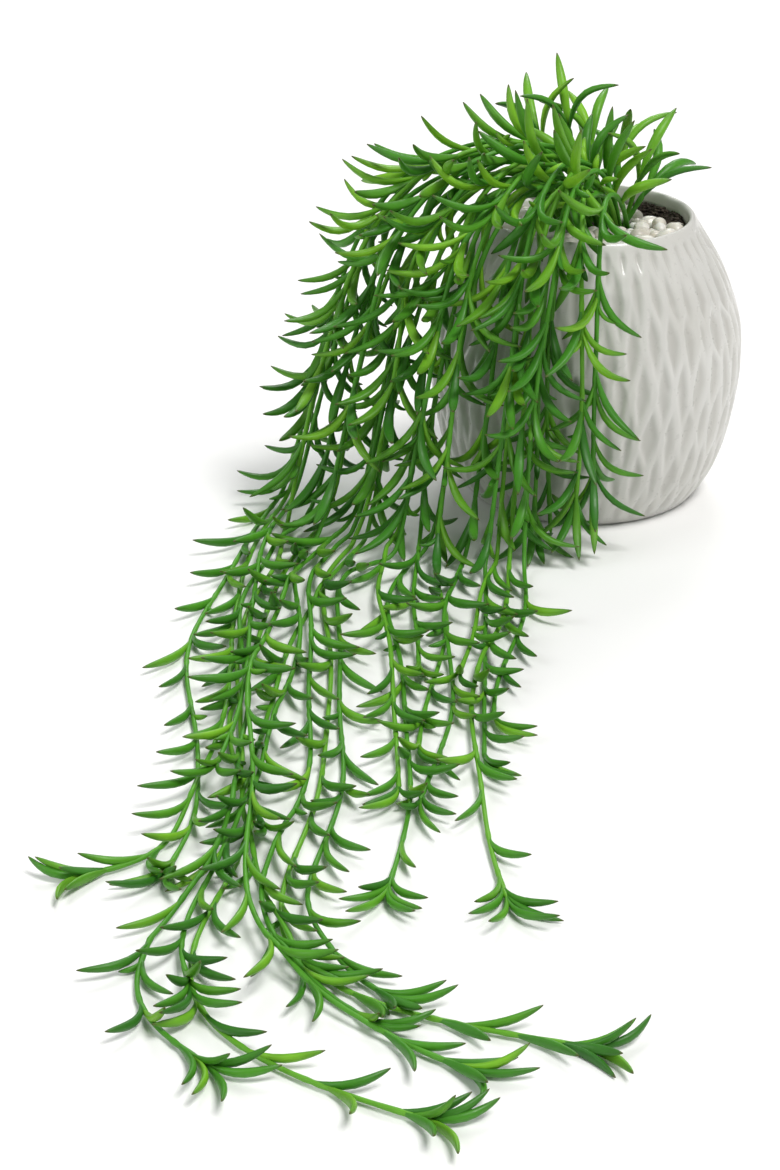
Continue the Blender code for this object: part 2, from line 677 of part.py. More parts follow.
def pebble_places(stems):
    """Seeded draws over the bed: centre, half sizes and turn of each pebble."""
    rng = np.random.RandomState(SEED + 2)
    near = np.vstack([s["axis"][s["axis"][:, 2] < PEBBLE_TOP + 0.004] for s in stems])
    near = near[np.hypot(near[:, 0], near[:, 1]) < RIM_RADIUS]
    out = []
    for draw in range(4000):
        size = rng.uniform(0.0040, 0.0056) * (1.0 if len(out) < 30 else 0.8)
        r = 0.0400 * math.sqrt(rng.uniform())
        a = rng.uniform(0.0, 2.0 * math.pi)
        turn = rng.uniform(0.0, math.pi)
        flat = rng.uniform(0.62, 0.80)
        x, y = r * math.cos(a), r * math.sin(a)
        if len(out) == PEBBLES or r + size > bed_radius(a) or not on_bed(x, y):
            continue
        if np.hypot(near[:, 0] - x, near[:, 1] - y).min() < size + 0.0018:
            continue
        if any(math.hypot(x - p[0], y - p[1]) < 0.84 * (size + p[3]) for p in out):
            continue
        tall = min(size * flat, 0.0032)
        z = min(BED_TOP + tall - 0.22 * size, PEBBLE_TOP - tall - 0.0003)
        z = max(z, BED_BOTTOM + tall + 0.0005)
        out.append((x, y, z, size, size * rng.uniform(0.72, 0.95), tall, turn,
                    rng.uniform(-0.25, 0.25)))
    return out


def build_pebbles(parts, tools, mat, stems):
    bm = bmesh.new()
    bmesh.ops.create_cone(bm, cap_ends=True, segments=20, depth=BED_TOP - BED_BOTTOM,
                          radius1=BED_RADIUS, radius2=BED_RADIUS)
    bmesh.ops.translate(bm, verts=bm.verts, vec=(0.0, 0.0, 0.5 * (BED_TOP + BED_BOTTOM)))
    low, high = (math.radians(a) for a in BARE_SECTOR)
    for v in bm.verts:
        if low < math.atan2(v.co.y, v.co.x) % (2.0 * math.pi) < high:
            v.co.x *= (BARE_REACH - 0.002) / BED_RADIUS
            v.co.y *= (BARE_REACH - 0.002) / BED_RADIUS
    bed = add_object("pebbles", mesh_of(bm, "pebbles"), parts, mat)
    bm = bmesh.new()
    ring = bmesh.ops.create_cone(bm, cap_ends=True, segments=14, depth=0.03,
                                 radius1=BED_HOLE, radius2=BED_HOLE)
    bmesh.ops.translate(bm, verts=ring["verts"], vec=(CLUMP[0], CLUMP[1], BED_BOTTOM))
    hole = as_cutter(add_object("bed_hole", mesh_of(bm, "bed_hole"), tools))
    boolean(bed, "DIFFERENCE", hole)
    heap = new_collection("pebble_heap")
    for n, (x, y, z, a, b, c, turn, lean) in enumerate(pebble_places(stems)):
        bm = bmesh.new()
        bmesh.ops.create_icosphere(bm, subdivisions=1, radius=1.0)
        place = (Matrix.Translation((x, y, z)) @ Matrix.Rotation(turn, 4, "Z")
                 @ Matrix.Rotation(lean, 4, "X") @ Matrix.Diagonal((a, b, c, 1.0)))
        bmesh.ops.transform(bm, matrix=place, verts=bm.verts)
        add_object("pebble_%d" % n, mesh_of(bm, "pebble"), heap)
    boolean(bed, "UNION", heap)
    mesh = baked(bed)
    empty(heap)
    bed.modifiers.clear()
    bed.data = mesh
    return bed


def empty(coll):
    for ob in list(coll.objects):
        bpy.data.objects.remove(ob, do_unlink=True)
    bpy.data.collections.remove(coll)


# The leafy stems.
def stem_section():
    """The three-cornered outline that the stems' curves are bevelled with."""
    data = bpy.data.curves.new("stem_section", "CURVE")
    data.dimensions = "2D"
    line = data.splines.new("POLY")
    line.points.add(2)
    for n in range(3):
        a = 2.0 * math.pi * n / 3.0
        line.points[n].co = (math.cos(a), math.sin(a), 0.0, 1.0)
    line.use_cyclic_u = True
    return as_cutter(add_object("stem_section", data, TOOLS))


def stem_mesh(stem, section):
    data = bpy.data.curves.new(stem["name"], "CURVE")
    data.dimensions = "3D"
    data.bevel_mode = "OBJECT"
    data.bevel_object = section
    data.use_fill_caps = True
    line = data.splines.new("POLY")
    line.points.add(len(stem["cad"]) - 1)
    share = stem["run"] / stem["run"][-1] * stem["size"]
    radius = np.interp(share, (0.0, 1.0), STEM_RADIUS) * STEM_CORNER
    for point, co, r in zip(line.points, stem["cad"], radius):
        point.co = (co[0], co[1], co[2], 1.0)
        point.radius = r
    rail = add_object(stem["name"] + "_rail", data, TOOLS)
    mesh = baked(rail)
    bpy.data.objects.remove(rail, do_unlink=True)
    bm = bmesh.new()
    bm.from_mesh(mesh)
    bmesh.ops.remove_doubles(bm, verts=bm.verts, dist=0.00001)
    return mesh_of(bm, stem["name"])


def leaf_mesh(leaf):
    """A crescent lofted through three-sided sections to a point."""
    point, head, inward, side = leaf_stations(leaf, CAD_T)
    bm = bmesh.new()
    half, flat, ridge = SECTION
    rings = []
    for p, n, w in zip(point[1:-1], inward[1:-1], CAD_W[1:-1] * leaf["width"]):
        rings.append([bm.verts.new(Vector(q)) for q in
                      (p + side * half * w + n * flat * w, p - side * half * w + n * flat * w,
                       p - n * ridge * w)])
    root = bm.verts.new(Vector(point[0]))
    for a, b in zip(rings[:-1], rings[1:]):
        for k in range(3):
            m = (k + 1) % 3
            bm.faces.new((a[k], a[m], b[m], b[k]))
    tip = bm.verts.new(Vector(point[-1]))
    for k in range(3):
        m = (k + 1) % 3
        bm.faces.new((rings[-1][k], rings[-1][m], tip))
        bm.faces.new((rings[0][m], rings[0][k], root))
    bmesh.ops.triangulate(bm, faces=bm.faces)
    return mesh_of(bm, "leaf")


def build_stem(stem, leaves, section, parts, mat):
    ob = add_object(stem["name"], stem_mesh(stem, section), parts, mat)
    foliage = new_collection(stem["name"] + "_leaves")
    for n, leaf in enumerate(leaves):
        add_object("%s_leaf_%d" % (stem["name"], n), leaf_mesh(leaf), foliage)
    boolean(ob, "UNION", foliage)
    mesh = baked(ob)
    empty(foliage)
    ob.modifiers.clear()
    ob.data = mesh
    return ob


clear_scene()
PARTS = new_collection("potted_string_of_bananas")
TOOLS = new_collection("cutters")
STEMS = stem_routes()
LEAVES = place_leaves(STEMS)
GLAZE = material("white_glaze", POT_COLOUR, 0.28)
build_pot(PARTS, TOOLS, GLAZE)
build_soil(PARTS, TOOLS, material("dark_soil", SOIL_COLOUR, 0.95), STEMS)
build_pebbles(PARTS, TOOLS, material("white_pebbles", PEBBLE_COLOUR, 0.35), STEMS)
SECTION_CURVE = stem_section()
GREEN = material("leaf_green", LEAF_COLOUR, 0.42)
for number, one in enumerate(STEMS):
    build_stem(one, [leaf for leaf in LEAVES if leaf["stem"] == number], SECTION_CURVE,
               PARTS, GREEN)
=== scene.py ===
import math
import bpy
import bmesh
import numpy as np
from mathutils import Matrix, Vector


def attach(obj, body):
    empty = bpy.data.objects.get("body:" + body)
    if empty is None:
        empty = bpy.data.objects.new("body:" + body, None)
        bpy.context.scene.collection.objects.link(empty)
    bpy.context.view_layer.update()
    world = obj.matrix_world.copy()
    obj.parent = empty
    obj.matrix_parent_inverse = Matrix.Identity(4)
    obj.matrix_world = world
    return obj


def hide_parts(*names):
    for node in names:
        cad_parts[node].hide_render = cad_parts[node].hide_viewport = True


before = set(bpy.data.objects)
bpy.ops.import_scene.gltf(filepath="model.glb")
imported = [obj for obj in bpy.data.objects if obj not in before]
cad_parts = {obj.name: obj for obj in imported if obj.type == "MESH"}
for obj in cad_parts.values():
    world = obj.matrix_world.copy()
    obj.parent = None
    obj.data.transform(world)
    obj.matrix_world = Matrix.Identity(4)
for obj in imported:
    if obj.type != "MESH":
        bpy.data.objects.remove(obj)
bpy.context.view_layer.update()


# The pot in metres: its height, its outer wall and its inside as height and radius.
POT_HEIGHT = 0.1180
POT_WALL = ((0.0000, 0.0475), (0.0015, 0.0490), (0.0095, 0.0544), (0.0200, 0.0587),
            (0.0340, 0.0620), (0.0500, 0.0643), (0.0600, 0.0647), (0.0700, 0.0641),
            (0.0785, 0.0624), (0.0935, 0.0570), (0.1040, 0.0513), (0.1115, 0.0466),
            (0.1155, 0.0440), (0.1180, 0.0415))
CAVITY_WALL = ((0.1135, 0.0402), (0.1000, 0.0448), (0.0620, 0.0578), (0.0300, 0.0552),
               (0.0100, 0.0440), (0.0065, 0.0410))
RIM_RADIUS = 0.0403
SOIL_TOP = 0.1087
PEBBLE_TOP = 0.1164

# The stems' roots: depth in the soil, middle of the clump, pitch and turn of its spiral.
ROOT_DEPTH = 0.0100
CLUMP = (0.003, 0.006)
ROOT_PITCH = 0.00275
GOLDEN_TURN = 2.399963
SEED = 7

# Stems and leaves, each from the root end to the tip end.
STEM_RADIUS = (0.00102, 0.00078)
LEAF_LENGTH = (0.0360, 0.0250)
LEAF_WIDTH = (0.0046, 0.0033)
# how far a stem's corners stand out, and the least gap between a leaf and what it passes
STEM_CORNER = 1.36
CLEAR = 0.00035
# pitches of the points on a stem's line and on its guide
LINE_STEP = 0.004
GUIDE_STEP = 0.010
# a stem that is lower and flatter than this lies on the surface
LYING_HEIGHT = 0.030
LYING_SLOPE = 0.6
# room between a stem's line and the pot's wall, its lip and the surface, the radii between
# which the lip holds it up, and how far one push may move it
WALL_ROOM = 0.0042
LIP_ROOM = 0.0035
FLOOR_ROOM = 0.0019
LIP_BAND = (0.034, 0.052)
PUSH = 0.0010
# families of sprigs and of short stems, whose leaves are sized by their length
SPRIGS = "g"
SHORT = "fg"
SHORT_RUN = 0.30

# n stems, azimuths over the rim, height of the crest over the rim, where they come down,
# pitch of their lanes on the surface, how much of the guide the shortest one keeps
FAMILIES = (
    ("a", 4, (186, 203), 0.033, 0.130, 0.0055, 0.66,
     ((-0.134, -0.085), (-0.139, -0.150), (-0.141, -0.215), (-0.139, -0.270),
      (-0.142, -0.308), (-0.156, -0.327), (-0.170, -0.330), (-0.186, -0.328))),
    ("b", 3, (198, 212), 0.031, 0.124, 0.0055, 0.84,
     ((-0.122, -0.090), (-0.127, -0.165), (-0.130, -0.240), (-0.131, -0.300),
      (-0.141, -0.345), (-0.146, -0.374), (-0.140, -0.400), (-0.118, -0.418),
      (-0.094, -0.428), (-0.070, -0.438))),
    ("c", 5, (206, 224), 0.029, 0.116, 0.0060, 0.74,
     ((-0.106, -0.105), (-0.111, -0.180), (-0.114, -0.250), (-0.119, -0.305),
      (-0.116, -0.350), (-0.102, -0.382), (-0.074, -0.402), (-0.046, -0.410),
      (-0.026, -0.418), (-0.014, -0.430))),
    ("d", 4, (222, 236), 0.028, 0.104, 0.0048, 0.42,
     ((-0.074, -0.120), (-0.075, -0.190), (-0.077, -0.250), (-0.080, -0.300),
      (-0.078, -0.340))),
    ("e", 5, (235, 251), 0.027, 0.095, 0.0066, 0.45,
     ((-0.048, -0.130), (-0.052, -0.200), (-0.055, -0.262), (-0.055, -0.336))),
    ("f", 4, (250, 269), 0.022, 0.0735, 0.0, 0.74, ()),
    ("g", 6, (0, 360), 0.030, 0.030, 0.0, 0.8, ()),
)
# upright sprigs: direction in degrees, height over the lip, lean outwards
SPROUTS = ((14, 0.006, 0.007), (338, 0.011, 0.005), (95, 0.022, 0.005), (150, 0.026, 0.014),
           (200, 0.031, 0.006), (60, 0.014, 0.008))

# Leaves are placed in four turns: those of the solids, two turns between them, and young ones.
TURNS = (1, 2, 3, 4)
YOUNG = 4
TURN_START = (0.004, 0.012, 0.008, 0.016)
TURN_TIPS = ((0, 1, 2), (3, 4), (5, 6), ())
TURN_SLIM = (1.0, 0.8, 0.62, 0.8)
YOUNG_LENGTH = 0.34
YOUNG_WIDTH = 0.60
GROWN_WIDTH = 0.93
LEAF_PITCH = 0.98
CROWN_RADIUS = 0.045
# angle between a leaf and its stem, and the bend of its arc: degrees and their spread
LIFT_LYING = (8, 4)
LIFT_HANGING = (16, 7)
BEND_LYING = (47, 20)
BEND_TIP = (50, 22)
BEND_HANGING = (62, 22)
# tries for each leaf, and what tells a stem's leaves from the stem among the beads
LEAF_TRIES = 26
LEAF_GROUP = 1000
# a leaf's solid: shares of its length and of its width, from inside the stem to the tip
SOLID_T = np.array([-0.03, 0.30, 0.70, 1.0])
SOLID_W = np.array([0.0, 1.0, 0.78, 0.0])
BEAD_SHARE = 0.555


def pot_radius(z):
    return np.interp(z, [p[0] for p in POT_WALL], [p[1] for p in POT_WALL])


def cavity_radius(z):
    return np.interp(z, [p[0] for p in CAVITY_WALL[::-1]], [p[1] for p in CAVITY_WALL[::-1]])


def unit(v):
    return v / max(np.linalg.norm(v), 1e-12)


def lengths(v):
    return np.linalg.norm(v, axis=-1)


def headings(p):
    """Unit vectors along a line of points."""
    t = np.gradient(p, axis=0)
    return t / lengths(t)[:, None]


def run_of(p):
    """How far along the line each of its points lies."""
    return np.concatenate(([0.0], np.cumsum(lengths(np.diff(p, axis=0)))))


def along_line(s, run, p):
    return np.stack([np.interp(s, run, p[:, k]) for k in range(3)], axis=1)


def spline(points, step):
    """Points every step along a smooth curve through the given ones."""
    p = np.array(points, float)
    p = np.vstack((2.0 * p[0] - p[1], p, 2.0 * p[-1] - p[-2]))
    out = []
    for a, b, c, d in zip(p[:-3], p[1:-2], p[2:-1], p[3:]):
        for t in np.linspace(0.0, 1.0, 24, endpoint=False):
            out.append(0.5 * (2 * b + (c - a) * t + (2 * a - 5 * b + 4 * c - d) * t * t
                              + (3 * b - a - 3 * c + d) * t ** 3))
    out.append(p[-2])
    p = np.array(out)
    run = run_of(p)
    s = np.linspace(0.0, run[-1], max(int(round(run[-1] / step)), 2) + 1)
    return along_line(s, run, p)


# The lines of the stems.
def stem_list():
    """Every stem of every family, with its direction and the share of the guide it keeps."""
    stems = []
    for name, count, az, crest, reach, lane, keep, guide in FAMILIES:
        for k in range(count):
            u = (k + 0.5) / count
            shorter = ((2 if count == 3 else 3) * k + 1) % count
            stems.append(dict(name="stem_%s%d" % (name, k + 1), family=name, k=k, count=count,
                              az=math.radians(az[0] + (az[1] - az[0]) * u),
                              crest=crest, reach=reach, lane=lane, guide=guide,
                              keep=1.0 - (1.0 - keep) * shorter / max(count - 1, 1)))
    return stems


def set_roots(stems):
    """Roots in a sunflower spiral, each stem taking the free one nearest to its own side."""
    spots = []
    for k in range(len(stems)):
        a = k * GOLDEN_TURN
        r = ROOT_PITCH * math.sqrt(k + 0.5)
        spots.append(np.array([CLUMP[0] + r * math.cos(a), CLUMP[1] + r * math.sin(a)]))
    order = sorted(range(len(stems)), key=lambda i: (stems[i]["family"] == SPRIGS, i % 3, i))
    for i in order:
        s = stems[i]
        if s["family"] == SPRIGS:
            s["az"] = math.radians(SPROUTS[s["k"]][0])
            out = 0.012
        else:
            out = (-0.004, 0.004, 0.010)[i % 3]
        a = s["az"]
        want = np.array(CLUMP) + np.array([math.cos(a), math.sin(a)]) * out
        j = min(range(len(spots)), key=lambda m: np.linalg.norm(spots[m] - want))
        s["root"] = spots.pop(j)


def sprig_points(stem):
    x, y = stem["root"]
    c, n = math.cos(stem["az"]), math.sin(stem["az"])
    top, out = SPROUTS[stem["k"]][1:]
    return [(x + c * out * r, y + n * out * r, POT_HEIGHT - 0.008 + (top + 0.008) * f)
            for f, r in ((0.35, 0.12), (0.7, 0.45), (1.0, 1.0))]


def lying_points(stem, layer, rng):
    """A stem's part on the surface: its guide, moved over to its own lane, with a slow sway."""
    g = spline([(p[0], p[1], 0.0) for p in stem["guide"]], GUIDE_STEP)
    g = g[:max(int(len(g) * stem["keep"]), 3)]
    t = headings(g)
    normal = np.stack((t[:, 1], -t[:, 0], t[:, 2] * 0), axis=1)
    # the lanes keep the order of the azimuths: the first stem is the outermost on the left
    off = (stem["k"] - (stem["count"] - 1) / 2.0) * stem["lane"]
    phase = rng.uniform(0, 6.283, 3)
    q = np.arange(len(g)) * GUIDE_STEP
    sway = 0.0062 * np.sin(q * 21 + phase[0]) + 0.0022 * np.sin(q * 52 + phase[1])
    up = 0.0020 + 0.0030 * layer * (0.85 + 0.15 * np.sin(q * 30 + phase[2]))
    up[-4:] *= (0.85, 0.7, 0.55, 0.45)
    line = g - normal * (off + sway)[:, None]
    line[:, 2] = up
    return [tuple(v) for v in line[::3]]


def trailing_points(stem, layer, rng):
    """Over the crest of the clump, past the lip and down beside the pot."""
    x, y = stem["root"]
    c, n = math.cos(stem["az"]), math.sin(stem["az"])
    along = (x - CLUMP[0]) * c + (y - CLUMP[1]) * n
    side = -(x - CLUMP[0]) * n + (y - CLUMP[1]) * c
    top = stem["crest"] - 0.45 * along
    reach = stem["reach"] - 0.5 * along + rng.uniform(-0.003, 0.003)
    lane = side * 0.6
    h = POT_HEIGHT

    def at(r, z, sway=0.0):
        return (c * r - n * (lane + sway), n * r + c * (lane + sway), z)

    pts = [(x + c * 0.003, y + n * 0.003, h + 0.30 * top)]
    if stem["family"] in SHORT:
        pts += [at(0.030, h + 0.95 * top), at(0.050, h + 0.90 * top), at(0.066, h + 0.10 * top)]
        drop = 0.100 * stem["keep"]
        for f in (0.3, 0.65, 1.0):
            pts.append(at(reach + 0.003 * f, h - 0.012 - drop * f, rng.uniform(-0.003, 0.003)))
        return pts
    pts += [at(0.026, h + 0.97 * top), at(0.048, h + 0.92 * top)]
    for share, z, sway in ((0.60, h + 0.60 * top, 0.002), (0.74, h - 0.004, 0.003),
                           (0.86, 0.066, 0.003), (0.94, 0.028, 0.003), (1.00, 0.006, 0.003)):
        pts.append(at(share * reach, z, rng.uniform(-sway, sway)))
    return pts + lying_points(stem, layer, rng)


def stem_routes():
    rng = np.random.RandomState(SEED)
    stems = stem_list()
    set_roots(stems)
    for number, s in enumerate(stems):
        x, y = s["root"]
        z = SOIL_TOP - ROOT_DEPTH + 0.0003
        pts = [(x, y, z), (x, y, z + 0.007), (x, y, z + 0.013)]
        if s["family"] == SPRIGS:
            pts += sprig_points(s)
        else:
            pts += trailing_points(s, number * 2 % 5, rng)
        s["axis"] = spline(pts, LINE_STEP)
    return relax(stems)


def pairs_near(pts, own, within):
    """Pairs of points of different stems that lie within a box of each other."""
    near = []
    for k in range(0, len(pts), 400):
        block = pts[k:k + 400]
        gap = np.abs(block[:, None, :] - pts[None, :, :]).max(-1)
        i, j = np.nonzero(gap < within)
        i += k
        use = (i < j) & (own[i] != own[j])
        near.append((i[use], j[use]))
    return np.concatenate([n[0] for n in near]), np.concatenate([n[1] for n in near])


def relax(stems, rounds=48, strict=64):
    """Pushes the stems apart, out of the pot and onto the surface."""
    pts = np.vstack([s["axis"] for s in stems])
    own = np.concatenate([np.full(len(s["axis"]), i) for i, s in enumerate(stems)])
    idx = np.concatenate([np.arange(len(s["axis"])) for s in stems])
    last = np.concatenate([np.full(len(s["axis"]), len(s["axis"]) - 1) for s in stems])
    fixed = idx < 4
    inner = np.nonzero((idx > 3) & (idx < last))[0]
    rank = own * 2 % 5 + own / 100.0
    for turn in range(rounds + strict):
        firm = turn >= rounds
        if turn % 8 == 0:
            i, j = pairs_near(pts, own, 0.010)
        r = np.hypot(pts[:, 0], pts[:, 1])
        want = np.interp(r, (0.010, 0.040, 0.080, 0.140), (0.0040, 0.0046, 0.0050, 0.0040))
        if firm:
            want = np.interp(r, (0.060, 0.140), (0.0044, 0.0040))
        d = pts[i] - pts[j]
        room = np.minimum(want[i], want[j])
        dist = np.maximum(lengths(d), 1e-6)
        need = np.maximum(0.0, room - dist) * (0.5 if firm else 0.4)
        # on the surface a stem of a higher rank passes over one of a lower rank
        ahead = np.zeros_like(pts)
        ahead[inner] = pts[inner + 1] - pts[inner - 1]
        steep = np.abs(ahead[:, 2]) / np.maximum(lengths(ahead), 1e-9)
        lies = (r > 0.085) & (pts[:, 2] < LYING_HEIGHT) & (steep < LYING_SLOPE)
        flat = np.hypot(d[:, 0], d[:, 1])
        rise = np.sqrt(np.maximum(0.0, room ** 2 - flat ** 2))
        over = np.where(rank[i] > rank[j], 1.0, -1.0)
        lift = np.where(lies[i] & lies[j], over * np.maximum(0.0, rise - over * d[:, 2]) * 0.5, 0.0)
        d *= (need / dist)[:, None]
        d = np.where((lies[i] & lies[j])[:, None], 0.25 * d, d)
        d[:, 2] += lift
        push = np.zeros_like(pts)
        for k in range(3):
            push[:, k] = (np.bincount(i, d[:, k], len(pts)) - np.bincount(j, d[:, k], len(pts)))
        big = lengths(push)
        push *= np.minimum(1.0, PUSH / np.maximum(big, 1e-9))[:, None]
        push[fixed] = 0.0
        # what lies loose settles
        low = (r > 0.09) & (pts[:, 2] < LYING_HEIGHT) & ~fixed
        push[:, 2] -= np.where(low, 0.0 if firm else 0.00015, 0.0)
        pts += push
        middle = 0.5 * (pts[inner - 1] + pts[inner + 1]) - pts[inner]
        pts[inner] += (0.05 if firm else 0.35) * middle
        # the wall and the lip push a stem out and up
        r = np.maximum(np.hypot(pts[:, 0], pts[:, 1]), 1e-6)
        z = pts[:, 2]
        clear = pot_radius(z) + WALL_ROOM
        past = r > LIP_BAND[1]
        hit = past & (z < POT_HEIGHT + 0.001) & (r < clear) & ~fixed
        scale = np.where(hit, clear / r, 1.0)
        pts[:, :2] *= scale[:, None]
        lip = POT_HEIGHT + LIP_ROOM
        over = (r > LIP_BAND[0]) & ~past & (z < lip) & ~fixed
        pts[:, 2] = np.where(over, lip, pts[:, 2])
        pts[:, 2] = np.where(past, np.maximum(pts[:, 2], FLOOR_ROOM), pts[:, 2])
    for i, s in enumerate(stems):
        s["axis"] = pts[own == i]
    return stems


def thin(p, tol):
    """The fewest of the points that keep within tol of the line through them."""
    keep = np.zeros(len(p), bool)
    keep[0] = keep[-1] = True
    spans = [(0, len(p) - 1)]
    while spans:
        a, b = spans.pop()
        if b - a < 2:
            continue
        t = p[b] - p[a]
        n = max(np.linalg.norm(t), 1e-9)
        q = p[a + 1:b] - p[a]
        along = np.clip(q @ t / n / n, 0.0, 1.0)
        off = lengths(q - along[:, None] * t)
        m = int(off.argmax())
        if off[m] > tol:
            keep[a + 1 + m] = True
            spans += [(a, a + 1 + m), (a + 1 + m, b)]
    return np.nonzero(keep)[0]


# Where the leaves go.
def leaf_stations(leaf, ts):
    """Points, inward normals and side of a leaf's arc at shares ts of its length."""
    n = 60
    t = (np.arange(n) + 0.5) / n
    # the bend gathers in the middle and the tip straightens a little
    turn = leaf["lift"] + leaf["bend"] * (t - 0.12 * np.sin(math.tau * t))
    step = np.stack((np.cos(turn), np.sin(turn)), axis=1) * (leaf["length"] / n)
    path = np.vstack(([0.0, 0.0], np.cumsum(step, axis=0)))
    grid = np.arange(n + 1) / n
    x, y = np.interp(ts, grid, path[:, 0]), np.interp(ts, grid, path[:, 1])
    before = np.minimum(ts, 0.0) * leaf["length"]
    x = x + before * math.cos(leaf["lift"])
    y = y + before * math.sin(leaf["lift"])
    ts = np.maximum(ts, 0.0)
    a = leaf["lift"] + leaf["bend"] * (ts - 0.12 * np.sin(math.tau * ts))
    side = np.cross(leaf["tangent"], leaf["normal"])
    drift = leaf["drift"] * ts * ts * leaf["length"]
    point = (leaf["base"] + x[:, None] * leaf["tangent"] + y[:, None] * leaf["normal"]
             + drift[:, None] * side)
    inward = -np.sin(a)[:, None] * leaf["tangent"] + np.cos(a)[:, None] * leaf["normal"]
    return point, inward, side


def leaf_beads(leaf, slim):
    p = leaf_stations(leaf, SOLID_T)[0]
    run = run_of(p)
    n = max(int(run[-1] / 0.0009), 6)
    s = (np.arange(n) + 0.5) / n * run[-1]
    rad = np.interp(s, run, SOLID_W) * leaf["width"] * BEAD_SHARE * slim
    return along_line(s, run, p), rad


def ball_round(xyz, rad):
    """Centre and radius of a ball that holds the beads."""
    c = xyz.mean(axis=0)
    return c, float((lengths(xyz - c) + rad).max())


class Crowd:
    """Beads of all that is placed, in groups, to ask what is near."""
    def __init__(self):
        self.centre, self.reach, self.beads, self.owner = [], [], [], []

    def add(self, xyz, rad, owner):
        c, reach = ball_round(xyz, rad)
        self.centre.append(c)
        self.reach.append(reach)
        self.beads.append((xyz, rad))
        self.owner.append(owner)

    def freeze(self):
        self.c, self.r, self.o = np.array(self.centre), np.array(self.reach), np.array(self.owner)

    def room(self, xyz, rad, own, skip_stem, skip_leaf, gap):
        c, reach = ball_round(xyz, rad)
        near = np.nonzero(lengths(self.c - c) < self.r + reach + gap)[0]
        worst = 1.0
        for g in near:
            p, q = self.beads[g]
            a, b = xyz, rad
            if self.o[g] == own:
                a, b = xyz[skip_stem:], rad[skip_stem:]
            elif self.o[g] == own + LEAF_GROUP:
                a, b = xyz[skip_leaf:], rad[skip_leaf:]
            if len(a):
                d = lengths(a[:, None, :] - p[None, :, :]) - b[:, None] - q[None, :]
                worst = min(worst, float(d.min()))
                if worst < gap:
                    break
        return worst


def outside_pot(xyz, rad, gap):
    r = np.hypot(xyz[:, 0], xyz[:, 1])
    z = xyz[:, 2]
    if (z - rad < 0.0004).any():
        return False
    wall = (r > RIM_RADIUS - rad - gap) & (z < POT_HEIGHT + rad + gap)
    if (wall & (r < pot_radius(z) + rad + gap + 0.0004)).any():
        return False
    inside = r <= RIM_RADIUS - rad - gap
    return not (inside & (z < PEBBLE_TOP + rad + gap)).any()


def measure_stems(stems):
    """Sets each stem's straightened line, its run and its size; gives the beads of them all."""
    crowd = Crowd()
    for i, s in enumerate(stems):
        line = s["axis"][thin(s["axis"], 0.0008)]
        run = run_of(line)
        size = min(1.0, run[-1] / SHORT_RUN) if s["family"] in SHORT else 1.0
        s.update(line=line, run=run, size=size)
        m = max(int(run[-1] / 0.0011), 4)
        q = np.linspace(0, run[-1], m)
        xyz = along_line(q, run, line)
        rad = np.interp(q / run[-1] * size, (0, 1), STEM_RADIUS) * STEM_CORNER
        for k in range(0, m, 24):
            crowd.add(xyz[k:k + 25], rad[k:k + 25], i)
    crowd.freeze()
    return crowd


def leaf_size(share):
    return LEAF_LENGTH[0] + (LEAF_LENGTH[1] - LEAF_LENGTH[0]) * share


def leaf_slots(stems, turn):
    """The places of one turn's leaves along every stem; tips come first, since they show most."""
    slots = []
    for i, s in enumerate(stems):
        run = s["run"]
        total = run[-1]
        steps = np.linspace(0, total, 200)
        above = np.interp(steps, run, s["line"][:, 2]) > PEBBLE_TOP + 0.004
        q = float(steps[np.argmax(above)]) + TURN_START[turn - 1]
        k = 0
        while q < total - 0.004:
            size = leaf_size((q / total * s["size"]) ** 1.5)
            slots.append((q / total, i, q, k, size, False))
            q += size * LEAF_PITCH * (1.0 + 0.12 * math.sin(9.1 * k + i * 2.3))
            k += 1
        for e in TURN_TIPS[turn - 1]:
            slots.append((1.0, i, total - 0.0012 - 0.0014 * e, k + e, leaf_size(s["size"]), True))
    slots.sort(key=lambda a: (-a[0], a[1], a[3]))
    return slots


def is_bare(turn, number, stem, k, tip, base):
    """Fewer leaves are added in the crown, on its sprigs and where stems lie by the pot."""
    crown = math.hypot(base[0], base[1]) < CROWN_RADIUS
    if turn == 1:
        return False
    if stem["family"] == SPRIGS:
        return turn < YOUNG or stem["k"] < 2
    if turn == 3:
        return crown or base[2] < 0.050 and base[1] > -0.300
    return turn == 2 and crown and (k + number) % 2 == 1 and not tip


def stem_axes(stem, q):
    """A point of the stem, its heading there and two directions square to it."""
    run, line = stem["run"], stem["line"]
    base, ahead, behind = along_line((q, min(q + 0.003, run[-1]), q - 0.003), run, line)
    t = unit(ahead - behind)
    up = (0.0, -1.0, 0.0) if abs(t[2]) > 0.8 else (0.0, 0.0, 1.0)
    x = unit(np.cross(t, up))
    return base, t, x, np.cross(x, t)


